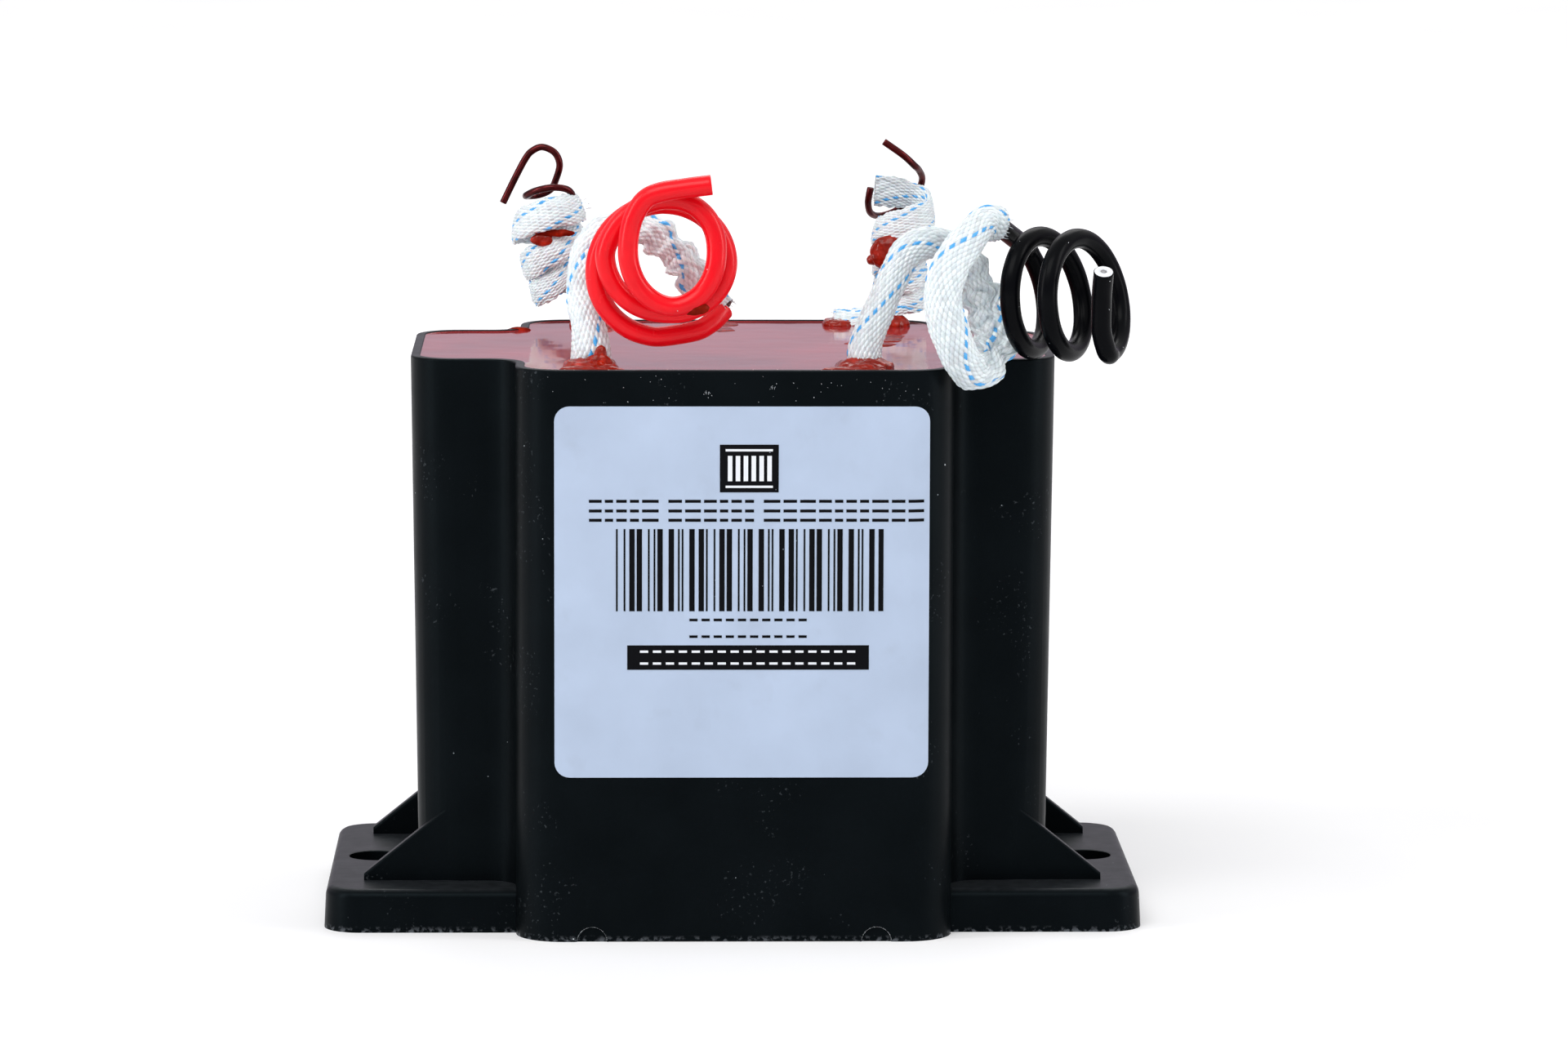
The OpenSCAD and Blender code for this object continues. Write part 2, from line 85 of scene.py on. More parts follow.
# Routes of the leads, in millimetres, as they lie on the solids
RED_SLEEVE_ROUTE = [
    (-19.2, -27.5, 76.7), (-19.3, -27.5, 80.5), (-19.9, -26, 85), (-20, -24.5, 90),
    (-18.5, -24, 94), (-15, -23.5, 95.5), (-11.5, -23.5, 95), (-8.5, -23.5, 92.5),
    (-6, -24.2, 90), (-4.5, -25.3, 87), (-1.5, -26.5, 84.5)]
BLACK_SLEEVE_ROUTE = [
    (17.5, -27.5, 76.7), (17.5, -27.5, 80), (19.5, -27.2, 85), (21.3, -27, 89.2),
    (23.3, -26.5, 92.5), (26.8, -25, 93.5), (30.1, -23.5, 91.5), (32.6, -23.5, 87.3),
    (34, -24.5, 83), (34.6, -26.5, 79.4), (33, -30.5, 76.6), (30.6, -33, 77.9),
    (28.8, -34.1, 81.6), (27.5, -34, 86.5), (28.5, -33, 91), (31.5, -30.5, 95),
    (33.4, -27.9, 96.6), (35.1, -25.8, 96)]
LEFT_FOOT_ROUTE = [(-19, 27.5, 76.7), (-19, 27.5, 79.5), (-19.6, 28.2, 81.4)]
RIGHT_FOOT_ROUTE = [(15, 28.5, 77.8), (17.5, 28.5, 77.9), (20.4, 28.1, 78.7)]
LEFT_COPPER_ROUTE = [
    (-22.6, 30, 94.3), (-22.1, 29.8, 95.2), (-22.9, 28.8, 96.2), (-25, 28, 96.5),
    (-27.2, 28.6, 96), (-28.6, 30.3, 95.2), (-28.4, 32.4, 94.9), (-26.8, 33.6, 95),
    (-25.2, 33, 95.8), (-24.4, 32, 97.4), (-23.9, 31.3, 99.5), (-24.6, 31, 101.2),
    (-26.3, 31, 102), (-27.7, 31, 101.5), (-28.7, 31, 100.4), (-30.3, 31, 97.4),
    (-31.9, 31, 94.1)]
RIGHT_COPPER_ROUTE = [
    (20.2, 31, 96.2), (20, 31.2, 95.2), (19.9, 32, 93.9), (20.3, 33.4, 92.5),
    (21.5, 35.3, 91.9), (23.5, 36.3, 92.3), (25.6, 36.4, 93.6), (27.2, 36, 95.4),
    (27.7, 35.2, 97.2), (27.2, 33.6, 98.5), (26.4, 32, 99.4), (24.8, 31, 100.9),
    (22.1, 31, 102.8)]

# Stations of the red coil: turn in degrees, middle of that turn, half width and height
RED_COIL_STATIONS = [
    (165, (-9.9, -29.9, 90.0), 8.7, 8.65), (270, (-9.9, -30.6, 90.0), 8.75, 8.7),
    (360, (-9.8, -31.4, 90.6), 8.75, 8.6), (450, (-9.8, -32.2, 91.4), 8.7, 8.3),
    (540, (-9.5, -33.0, 92.6), 8.1, 7.75), (630, (-9.4, -33.6, 92.8), 7.9, 7.6),
    (720, (-8.6, -34.5, 93.0), 6.6, 7.05), (810, (-8.4, -35.3, 93.0), 5.85, 7.05),
    (900, (-8.4, -36.1, 93.0), 5.85, 7.05), (990, (-8.4, -36.7, 93.4), 5.9, 7.0)]
RED_WIRE_START = [
    (-1.5, -26.5, 84.5), (-2.2, -27.3, 83.8), (-3.5, -28.4, 82.8), (-5.4, -29.4, 82.0)]
RED_WIRE_END = [
    (-14.1, -36.8, 95.8), (-13.5, -36.9, 98), (-12.1, -37, 100.2),
    (-10, -37.1, 101.2), (-6.5, -37.2, 101.8), (-3.3, -37.2, 102.2)]
BLACK_WIRE_END = [
    (50, -29.9, 79), (49.5, -31, 79.7), (48.8, -32, 82.3), (48.7, -32.6, 85.2),
    (48.7, -33.4, 87.6), (48.8, -35, 90.5)]

# Stations of the two wound primary sleeves: turn, middle of the turn, radius and lean
LEFT_COIL_STATIONS = [
    (0.0, (-24.2, 31, 81.7), 3.3, 20), (0.5, (-24.4, 31, 82.7), 3.5, 28),
    (0.75, (-24.6, 31, 83.1), 3.6, 30), (1.0, (-24.9, 31, 84.8), 3.8, 28),
    (1.75, (-25.3, 31, 87.6), 4.0, 26), (2.0, (-25.4, 31, 89.1), 4.2, 20),
    (2.75, (-25.6, 31, 92.9), 4.6, 8), (3.0, (-25.4, 31, 93.6), 4.2, 0)]
RIGHT_COIL_STATIONS = [
    (0.0, (24.4, 31, 80.3), 3.3, 0), (1.0, (24.5, 31, 83.4), 3.3, 6),
    (2.0, (24.5, 31, 87.2), 3.4, 8), (3.0, (24.7, 31, 91.6), 3.7, 4),
    (3.25, (24.6, 31, 92.8), 4.2, 0)]
RIGHT_COIL_TAIL = [
    (28.3, 32.8, 93.9), (26.6, 34, 94.7), (24.4, 34, 95.3), (22.4, 33.5, 95.6),
    (20.9, 33.1, 95.7)]


def linear(code):
    """Turn an sRGB hex colour such as #a63328 into linear values with alpha."""
    parts = [int(code[i:i + 2], 16)/255 for i in (1, 3, 5)]
    values = [p/12.92 if p <= 0.04045 else ((p + 0.055)/1.055)**2.4 for p in parts]
    return (*values, 1.0)


def per_mm(size):
    """Scale of a pattern on Object coordinates whose features are that many mm."""
    return 1.0/(size*MM)


def colour_prop(name, description, code):
    """A colour that a user can change, given as an sRGB hex code."""
    return bpy.props.FloatVectorProperty(
        name=name, description=description, subtype="COLOR", size=4, min=0, max=1,
        default=linear(code))


def length_prop(name, description, millimetres):
    """A size that a user can change, given in millimetres."""
    return bpy.props.FloatProperty(
        name=name, description=description, default=millimetres*MM, min=0,
        subtype="DISTANCE", unit="LENGTH")


def number_prop(name, description, value, low, high):
    """A plain number that a user can change."""
    return bpy.props.FloatProperty(
        name=name, description=description, default=value, min=low, max=high)


def angle_prop(name, description, value):
    """An angle that a user can change, given in radians."""
    return bpy.props.FloatProperty(
        name=name, description=description, default=value, subtype="ANGLE",
        unit="ROTATION")


class CaseSettings(bpy.types.PropertyGroup):
    lobe_depth: length_prop("Lobe depth", "Depth of the two end lobes", 39.2)
    block_length: length_prop("Block length", "Length of the deeper middle block", 58.8)
    block_depth: length_prop("Block depth", "Depth of the middle block", 67.8)
    lean: length_prop("Lean", "How far a lobe's end leans out up to the rim", 0.94)
    wall: length_prop("Wall", "Wall thickness of the case", 1.6)
    floor: length_prop("Floor", "Floor thickness of the case", 2.6)
    lobe_radius: length_prop("Lobe radius", "Radius of the lobe corners", 6)
    block_radius: length_prop("Block radius", "Radius of the middle block's corners", 6.5)
    hollow_radius: length_prop("Hollow radius", "Radius between lobe and block", 4)
    rim_round: length_prop("Rim rounding", "Rounding of the rim's outer edge", 0.3)
    rim_inner: length_prop("Rim chamfer", "Chamfer of the rim's inner edge", 0.45)
    flange_depth: length_prop("Flange depth", "Depth of the flange", 54.2)
    flange_height: length_prop("Flange thickness", "Thickness of the flange", 5.8)
    flange_radius: length_prop("Flange radius", "Radius of the flange corners", 5)
    flange_round: length_prop("Flange rounding", "Rounding of the flange's top edge", 1.2)
    hole_span: length_prop("Hole span", "Distance between the fixing holes", 98.2)
    hole_diameter: length_prop("Hole diameter", "Diameter of the fixing holes", 7.5)
    rib_thickness: length_prop("Rib thickness", "Thickness of a gusset rib", 2.3)
    rib_length: length_prop("Rib length", "Reach of a rib along the flange", 13.4)
    rib_height: length_prop("Rib height", "Height of a rib above the flange", 11.65)
    gate_span: length_prop("Gate span", "Distance between the sprue marks", 38.2)
    gate_width: length_prop("Gate width", "Width of a sprue mark", 3.9)


class ResinSettings(bpy.types.PropertyGroup):
    rise: length_prop("Rise", "Height of the resin above its solid", SKIN_RISE)
    climb: length_prop("Climb", "How far the resin climbs up the wall", 0.14)
    reach: length_prop("Reach", "Width of the strip where the resin climbs", 1.8)
    lap: length_prop("Lap", "How far the resin laps over the rim's inner edge", 0.42)


class LeadSettings(bpy.types.PropertyGroup):
    sleeve_width: length_prop("Sleeve width", "Width of the high-voltage sleeves", 4.8)
    sleeve_depth: length_prop("Sleeve depth", "Depth of those flattened sleeves", 3.9)
    tape_width: length_prop("Small sleeve width", "Width of the primary sleeves", 4.3)
    tape_depth: length_prop("Small sleeve depth", "Depth of the primary sleeves", 1.25)
    wire_diameter: length_prop("Wire", "Diameter of the high-voltage wire", 2.7)
    bore_diameter: length_prop("Bore", "Diameter of the hole for its conductor", 0.9)
    copper_diameter: length_prop("Copper", "Diameter of the enamelled wire", 1.0)
    yarn_pitch: length_prop("Yarn pitch", "Length of one diamond of the braid", 1.45)
    yarn_height: length_prop("Yarn height", "How far a yarn stands out", 0.19)
    carriers: bpy.props.IntProperty(
        name="Carriers", description="Yarns that run each way round a braid",
        default=20, min=8, max=32)


class FinishSettings(bpy.types.PropertyGroup):
    case: colour_prop("Case", "Moulded plastic of the case", "#070a0c")
    resin: colour_prop("Resin", "Cured resin", "#a82a2e")
    sealant: colour_prop("Sealant", "Sealant round the leads", "#98200f")
    label: colour_prop("Label", "Label film", "#b5c5dc")
    ink: colour_prop("Ink", "Print on the label", "#0b0c0f")
    braid: colour_prop("Braid", "Glass yarn of the sleeves", "#eaf5f9")
    tracer: colour_prop("Tracer", "Tracer yarns", "#3aa9ee")
    red_wire: colour_prop("Red wire", "Red silicone", "#ee0c1c")
    black_wire: colour_prop("Black wire", "Black silicone", "#07080b")
    enamel: colour_prop("Enamel", "Enamelled copper", "#4c1012")
    copper: colour_prop("Copper", "Bare copper", "#c98a62")


class StudioSettings(bpy.types.PropertyGroup):
    focal: number_prop("Focal length", "Focal length in millimetres", 159.17, 20, 400)
    place: bpy.props.FloatVectorProperty(
        name="Place", description="Place of the camera", size=3, subtype="TRANSLATION",
        unit="LENGTH", default=(-0.01549, -0.95, 0.17664))
    turn: angle_prop("Turn", "Bearing of the camera", -0.024)
    pitch: angle_prop("Pitch", "How far the camera looks down", 0.130)
    roll: angle_prop("Roll", "Roll of the camera", 0.003)
    ambient: number_prop("Ambient", "Strength of the light from all round", 0.42, 0, 2)


def settings(context):
    """All the setting groups of the scene, by short names."""
    scene = context.scene
    return (scene.transformer_case, scene.transformer_resin, scene.transformer_leads,
            scene.transformer_finish, scene.transformer_studio)


# Modelling helpers

def deselect():
    """Leave edit mode and select nothing."""
    active = bpy.context.object
    if active is not None and active.mode != "OBJECT":
        bpy.ops.object.mode_set(mode="OBJECT")
    bpy.ops.object.select_all(action="DESELECT")


def activate(piece):
    """Make a piece the only selected and active one."""
    deselect()
    piece.select_set(True)
    bpy.context.view_layer.objects.active = piece


def settle(name):
    """Name the new primitive and move its place into its mesh."""
    made = bpy.context.object
    made.name = name
    made.data.name = name
    bpy.ops.object.transform_apply(location=True, rotation=True, scale=True)
    return made


def add_box(name, low, high):
    """Add a box between two corners."""
    deselect()
    low, high = Vector(low), Vector(high)
    bpy.ops.mesh.primitive_cube_add(size=1, location=(low + high)/2, scale=high - low)
    return settle(name)


def select(piece, kind, test):
    """Go into edit mode with only those vertices, edges or faces that pass a test."""
    activate(piece)
    bpy.ops.object.mode_set(mode="EDIT")
    bpy.ops.mesh.select_mode(type=kind)
    bpy.ops.mesh.select_all(action="DESELECT")
    cage = bmesh.from_edit_mesh(piece.data)
    items = {"VERT": cage.verts, "EDGE": cage.edges, "FACE": cage.faces}[kind]
    for item in items:
        if test(item):
            item.select_set(True)
    cage.select_flush_mode()
    bmesh.update_edit_mesh(piece.data)


def finish_edit():
    """Go back to object mode."""
    bpy.ops.object.mode_set(mode="OBJECT")


def upright(edge):
    """Whether an edge runs straight up."""
    a, b = (v.co for v in edge.verts)
    return abs(a.x - b.x) < 1e-6 and abs(a.y - b.y) < 1e-6


def round_edges(piece, test, radius, steps):
    """Bevel the edges that pass a test."""
    select(piece, "EDGE", test)
    bpy.ops.mesh.bevel(offset=radius, segments=steps, affect="EDGES", clamp_overlap=True)
    finish_edit()


def apply_modifier(piece, kind, **values):
    """Give a piece a modifier with its settings and apply it."""
    activate(piece)
    added = piece.modifiers.new(kind.title(), kind)
    for key, value in values.items():
        setattr(added, key, value)
    bpy.ops.object.modifier_apply(modifier=added.name)


def combine(piece, other, operation):
    """Join, cut or intersect a piece with another, which is then removed."""
    apply_modifier(piece, "BOOLEAN", operation=operation, solver="EXACT", object=other)
    bpy.data.objects.remove(other, do_unlink=True)


def smooth(piece, degrees=30):
    """Shade a piece smooth, but for its sharper edges, with flat faces kept flat."""
    activate(piece)
    bpy.ops.object.shade_smooth_by_angle(angle=math.radians(degrees))
    apply_modifier(piece, "WEIGHTED_NORMAL", keep_sharp=True)


def hand_over(piece, material, slot, *nodes):
    """Give a finished piece its material and body, and hide the solids it stands for; the slot
    is not used.
    """
    piece.data.materials.clear()
    piece.data.materials.append(material)
    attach(piece, "root")
    if nodes:
        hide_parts(*nodes)
    return piece


def dress_solid(name, material):
    """Give a solid of the frame a material in all its slots."""
    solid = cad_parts[name]
    if not solid.data.materials:
        solid.data.materials.append(material)
    for slot in solid.material_slots:
        slot.material = material


def link_new(name, data):
    """New object in the scene, with that mesh, lamp or camera, or with none."""
    made = bpy.data.objects.new(name, data)
    bpy.context.scene.collection.objects.link(made)
    return made


def make_mesh(name, points, faces, attributes):
    """New smooth piece from points in metres, with a value of each name at each point."""
    mesh = bpy.data.meshes.new(name)
    mesh.from_pydata(points, [], faces)
    for key, values in attributes.items():
        layer = mesh.attributes.new(key, "FLOAT", "POINT")
        layer.data.foreach_set("value", np.ascontiguousarray(values.reshape(-1), np.float32))
    mesh.shade_smooth()
    return link_new(name, mesh)


def faces_up(face):
    """Whether a face looks straight up."""
    return face.normal.z > 0.9


def lobe_end(s):
    """How far a lobe's end reaches from the middle at the rim."""
    return CASE_HIGH.x - END_STEP + s.lean


def stepped_block(name, s, low, high, inset=0.0):
    """The case's plan, two lobes and a deeper block, between two heights."""
    end = lobe_end(s) - inset
    lobe, long, deep = [size/2 - inset for size in (s.lobe_depth, s.block_length,
                                                    s.block_depth)]
    made = add_box(name, (-end, -lobe, low), (end, lobe, high))
    combine(made, add_box("block", (-long, -deep, low), (long, deep, high)), "UNION")
    for x, y, radius in ((end, lobe, s.lobe_radius - inset),
                         (long, deep, s.block_radius - inset),
                         (long, lobe, s.hollow_radius + inset)):
        def at_corner(edge):
            place = edge.verts[0].co
            near = abs(abs(place.x) - x) < NEAR and abs(abs(place.y) - y) < NEAR
            return upright(edge) and near
        round_edges(made, at_corner, radius, 10)
    return made


# Shader helpers

def tint(colour):
    """Linear values of a colour, which may be given as a hex code."""
    return linear(colour) if isinstance(colour, str) else colour


def shade(colour, factor):
    """The same colour, lighter or darker."""
    return (*[min(1.0, c*factor) for c in colour[:3]], 1.0)


def plug(owner, node, inputs):
    """Link or set sockets of a node, by name or number."""
    for socket, value in inputs.items():
        if isinstance(value, bpy.types.NodeSocket):
            owner.node_tree.links.new(value, node.inputs[socket])
        else:
            node.inputs[socket].default_value = value


def add_node(owner, kind, inputs=None, stops=None, out=0, **values):
    """Add a shader node with its settings, sockets and ramp, and give one output."""
    made = owner.node_tree.nodes.new("ShaderNode" + kind)
    for key, value in values.items():
        setattr(made, key, value)
    plug(owner, made, inputs or {})
    if stops:
        ramp = made.color_ramp
        while len(ramp.elements) < len(stops):
            ramp.elements.new(0.5)
        for element, (place, colour) in zip(ramp.elements, stops):
            element.position = place
            element.color = tint(colour)
    return made.outputs[out]


class Look:
    """A new material whose base colour is laid on layer by layer."""

    def __init__(self, name, base=None):
        self.material = bpy.data.materials.new(name)
        self.material.use_nodes = True
        self.place = self.node("TexCoord", out="Object")
        self.base = base

    def node(self, kind, *given, **values):
        """Add a node to this material."""
        return add_node(self.material, kind, *given, **values)

    def maths(self, first, second, operation="MULTIPLY"):
        """Product of two factors, or what another operation makes of them."""
        return self.node("Math", {0: first, 1: second}, operation=operation)

    def span(self, value, low, high, start=0.0, stop=1.0):
        """Turn what lies between low and high into what lies between start and stop."""
        return self.node("MapRange", {"Value": value, "From Min": low, "From Max": high,
                                      "To Min": start, "To Max": stop})

    def grain(self, size, detail=3.0):
        """Noise factor with features of that many millimetres."""
        return self.node("TexNoise", {"Vector": self.place, "Scale": per_mm(size),
                                      "Detail": detail})

    def vary(self, size, detail, start, stop):
        """Value that noise of that size in mm moves between start and stop."""
        return self.span(self.grain(size, detail), 0, 1, start, stop)

    def specks(self, spacing, size, share):
        """Factor that is 1 on scattered dots, spacing mm apart and size mm across."""
        away = self.node("TexVoronoi", {"Vector": self.place, "Scale": per_mm(spacing)})
        lot = self.node("SeparateColor", {"Color": away.node.outputs["Color"]})
        return self.maths(self.maths(away, size/spacing/2, "LESS_THAN"),
                          self.maths(lot, share, "LESS_THAN"))

    def clusters(self, factor, size, above):
        """Keep a factor only where slow noise of that size in mm is above a level."""
        kept = self.maths(self.grain(size, 2.0), above, "GREATER_THAN")
        return self.maths(factor, kept)

    def relief(self, height, depth, strength):
        """Bump normal from a height factor, depth in millimetres."""
        return self.node("Bump", {"Height": height, "Strength": strength,
                                  "Distance": depth*MM})

    def tones(self, factor, colour, *steps):
        """Base colour from a ramp: at each place how light the colour is there."""
        self.base = self.node("ValToRGB", {"Fac": factor}, [
            (place, shade(tint(colour), light)) for place, light in steps])

    def over(self, factor, colour):
        """Lay a colour over the base by a factor."""
        self.base = self.node("Mix", {0: factor, 6: self.base, 7: tint(colour)}, out=2,
                              data_type="RGBA")

    def finish(self, **sockets):
        """Set or link the shader's sockets, with spaces written as underscores."""
        shader = self.material.node_tree.nodes["Principled BSDF"]
        named = {key.replace("_", " "): value for key, value in sockets.items()}
        plug(self.material, shader, {"Base Color": self.base, **named})
        return self.material


# Materials

def moulded_nylon(colour):
    """Glass-filled nylon, injection moulded."""
    # Near black and satin, so corners catch long soft lights; pale dust specks sit in the
    # texture, upward faces such as the top of the flange turn lighter grey in noisy patches,
    # and the lower edges are chipped grey
    look = Look("moulded_nylon")
    look.tones(look.grain(9), colour, (0.3, 0.8), (0.7, 1.35))
    up = look.node("SeparateXYZ", {"Vector": look.node("NewGeometry", out="Normal")}, out="Z")
    height = look.node("SeparateXYZ", {"Vector": look.place}, out="Z")
    # Upward faces turn lighter grey in noisy patches
    up_faces_lighter = look.maths(look.span(up, 0.7, 1, 0, 0.2), look.grain(1.3, 6.0))
    look.over(up_faces_lighter, "#6b7076")
    chips = look.span(look.grain(0.7, 5.0), 0.5, 0.62)
    look.over(look.maths(look.span(height, 0.9*MM, 0.1*MM), chips), "#5a5e63")
    look.over(look.clusters(look.specks(2.4, 0.16, 0.3), 14, 0.42), "#98a1a7")
    look.over(look.specks(5.5, 0.28, 0.4), "#c3c9ce")
    scuffs = look.span(look.grain(0.5, 6.0), 0.62, 0.72, 0, 0.16)
    look.over(look.clusters(scuffs, 11, 0.58), "#7d858b")
    return look.finish(Roughness=look.vary(3.5, 5.0, 0.28, 0.42), IOR=1.5,
                       Specular_IOR_Level=0.05, Specular_Tint=linear("#c4e4f2"),
                       Normal=look.relief(look.grain(0.16, 2.0), 0.02, 0.5))


def cured_resin(colour):
    """Epoxy, cast and left to level."""
    # Deep brick red under a glossy skin, so at a low angle it mirrors the leads and the
    # studio; slow ripples bend the mirror, and fine dust lies on it
    look = Look("cured_resin")
    look.tones(look.grain(14, 4.0), colour, (0.3, 0.72), (0.7, 1.2))
    look.over(look.specks(2.6, 0.2, 0.25), "#d8c4be")
    return look.finish(Roughness=look.vary(5, 4.0, 0.04, 0.12), IOR=1.53,
                       Normal=look.relief(look.grain(7, 1.0), 0.12, 0.5))


def brushed_sealant(name, colour, wet):
    """Silicone sealant, dabbed on and left lumpy, or wiped thin where it isn't wet."""
    # Dark wet red with small sharp highlights and thinner, lighter places
    look = Look(name)
    look.tones(look.grain(1.4, 4.0), colour, (0.3, 0.6), (0.55, 1), (0.8, 2.1))
    return look.finish(Roughness=0.15, IOR=1.45, Specular_IOR_Level=0.16*wet,
                       Subsurface_Weight=0.1, Subsurface_Scale=0.5*MM,
                       Subsurface_Radius=(1.0, 0.3, 0.2), Coat_Weight=0.15*wet,
                       Coat_Roughness=0.04,
                       Normal=look.relief(look.grain(0.5, 2.0), 0.05, 0.6))


def label_film(colour):
    """Polyester label stock, matt coated."""
    # Cool white with faint mottling, grey finger marks and a few black flecks
    look = Look("label_film")
    look.tones(look.grain(11, 5.0), colour, (0.3, 0.93), (0.7, 1.04))
    look.over(look.span(look.grain(4, 7.0), 0.6, 0.8, 0, 0.14), "#8f98a6")
    look.over(look.specks(7.5, 0.2, 0.35), "#4b4f58")
    return look.finish(Roughness=0.42, IOR=1.47,
                       Normal=look.relief(look.grain(0.4, 2.0), 0.01, 0.4))


def printed_ink(colour):
    """Thermal transfer ink."""
    # Almost black and dull, with pinholes where the ribbon missed
    look = Look("printed_ink", colour)
    look.over(look.specks(0.9, 0.14, 0.14), "#8d939d")
    return look.finish(Roughness=0.5, Specular_IOR_Level=0.05)


def glass_braid(name, colour, tracer):
    """Glass yarn, braided and varnished."""
    # White glossy bundles with painted shade in the grey between the yarns and painted dark
    # shade inside the mouths;
    # pinkish-grey patches are grime and painted red reflection from the resin; single yarns
    # differ a little, and two tracer yarns show as blue dashes where they pass over
    look = Look(name)
    tone, rise, trace = [look.node("Attribute", out="Fac", attribute_name=key)
                         for key in ("tone", "rise", "tracer")]
    look.tones(tone, colour, (0, 0.72), (0.5, 1), (1, 1.12))
    # Painted shade: grey where the yarns dip, between the bundles
    look.over(look.span(rise, 0, 0.42, 0.6, 0), shade(colour, 0.45))
    # Painted shade: dark brown-grey where rise is -1, inside the sleeves' mouths
    look.over(look.span(rise, 0, -1), "#6e625a")
    # Pinkish-grey patches: grime and painted red reflection from the resin
    look.over(look.span(look.grain(2.2, 5.0), 0.56, 0.74, 0, 0.2), "#a88f92")
    look.over(look.span(trace, 0.1, 0.45), tracer)
    return look.finish(Roughness=0.34, IOR=1.5, Coat_Weight=0.5, Coat_Roughness=0.16,
                       Subsurface_Weight=0.08, Subsurface_Scale=0.4*MM,
                       Normal=look.relief(look.grain(0.12, 2.0), 0.05, 0.55))


def silicone_rubber(name, colour, dust, gloss):
    """Silicone rubber, extruded."""
    # Saturated and softly glossy, with a long highlight along the wire and lint on it
    look = Look(name)
    look.tones(look.grain(3.5, 4.0), colour, (0.3, 0.92), (0.7, 1.05))
    look.over(look.specks(1.3, 0.16, dust), "#c3c6c9")
    return look.finish(Roughness=look.vary(2.5, 3.0, 0.22, 0.3), IOR=1.43,
                       Specular_IOR_Level=gloss,
                       Normal=look.relief(look.grain(1.8, 2.0), 0.02, 0.3))


def enamelled_copper(colour):
    """Copper wire, drawn and enamelled."""
    # Dark maroon varnish over metal, with warm glints along the bends
    look = Look("enamelled_copper")
    look.tones(look.grain(1.1, 3.0), colour, (0.35, 0.6), (0.7, 1.3))
    return look.finish(Metallic=0.9, Roughness=0.25, Coat_Weight=0.08, Coat_Roughness=0.06)


def dried_crumbs(name, colour):
    """Crumbs of cured resin and dust."""
    # Pale and dull, so they only show as light points on the dark plastic
    look = Look(name)
    look.tones(look.grain(1.5), colour, (0.35, 0.6), (0.7, 1))
    return look.finish(Roughness=0.5)


def bare_metal(name, colour, rough):
    """Soft drawn metal, cut with pliers."""
    # Bright and streaked, so a cut end flashes
    look = Look(name)
    look.tones(look.grain(0.15, 3.0), colour, (0.3, 0.75), (0.7, 1.2))
    return look.finish(Metallic=1.0, Roughness=rough)


def banded(name, light, dark, pitch, direction, metallic, rough):
    """Wound or stacked stock with lines pitch mm apart."""
    # Fine lines between turns, sheets or threads, with a slight shift of tone
    look = Look(name)
    lines = look.node("TexWave", {"Vector": look.place, "Scale": 0.32/(pitch*MM),
                                  "Distortion": 0.4, "Detail Scale": 2.0}, out="Fac",
                      bands_direction=direction)
    look.base = look.node("ValToRGB", {"Fac": lines}, [(0.1, dark), (0.5, light)])
    look.over(look.vary(6, 3.0, 0, 0.3), shade(linear(dark), 0.8))
    return look.finish(Metallic=metallic, Roughness=rough,
                       Normal=look.relief(lines, pitch*0.12, 0.6))


# Cords

FIRST, LAST = slice(0, 1), slice(-1, None)   # the two ends of a line
BUNDLE = 2.3             # how narrow a yarn is within its diamond
DIP = 0.15               # height that a yarn keeps where it passes under
TRACER_REACH = 0.38      # half width of a tracer yarn as a share of its diamond
CUT_EDGE = 0.93          # radius of a wire's cut edge as a share of the wire's
THIN = 0.02              # smallest radius of a ring, in millimetres


def smooth_line(points, step):
    """Places a step apart on a smooth curve through points, and their distances."""
    knots = np.array(points, float)
    ends = np.vstack([2*knots[:1] - knots[1:2], knots, 2*knots[-1:] - knots[-2:-1]])
    t = np.linspace(0, 1, 50, endpoint=False)[:, None]
    spans = []
    for p0, p1, p2, p3 in zip(ends, ends[1:], ends[2:], ends[3:]):
        spans.append(0.5*(2*p1 + (p2 - p0)*t + (2*p0 - 5*p1 + 4*p2 - p3)*t**2
                          + (3*p1 - p0 - 3*p2 + p3)*t**3))
    fine = np.vstack([*spans, knots[-1:]])
    run = np.concatenate([[0], np.cumsum(np.linalg.norm(np.diff(fine, axis=0), axis=1))])
    at = np.linspace(0, run[-1], int(run[-1]/step) + 2)
    return np.stack([np.interp(at, run, fine[:, k]) for k in range(3)], 1), at


def unit(vectors):
    """Vectors of length 1."""
    return vectors/np.linalg.norm(vectors, axis=-1, keepdims=True)


def carried_sides(line, side):
    """Direction, side and third direction along a line, without a sudden twist."""
    along = unit(np.gradient(line, axis=0))
    sides = np.zeros_like(line)
    here = np.array(side, float)
    for i, direction in enumerate(along):
        here = here - direction*(here @ direction)
        here = here/np.linalg.norm(here)
        sides[i] = here
    return along, sides, np.cross(along, sides)


def faced_sides(line):
    """The same, with the side across the view from the front, as flat sleeves lie."""
    along = unit(np.gradient(line, axis=0))
    sides = unit(np.cross(along, (0.0, 1.0, 0.0)))
    return along, sides, np.cross(along, sides)


def guided_sides(line, at, guides, middle):
    """The same, with the side led by guides: share, vector and pull to a middle."""
    along = unit(np.gradient(line, axis=0))
    shares = [g[0]*at[-1] for g in guides]
    lead = np.stack([np.interp(at, shares, [g[1][k] for g in guides]) for k in range(3)], 1)
    inward = unit((np.array([*middle, 0.0]) - line)*(1, 1, 0))
    lead = lead + inward*np.interp(at, shares, [g[2] for g in guides])[:, None]
    sides = unit(lead - along*np.sum(lead*along, axis=1, keepdims=True))
    return along, sides, np.cross(along, sides)


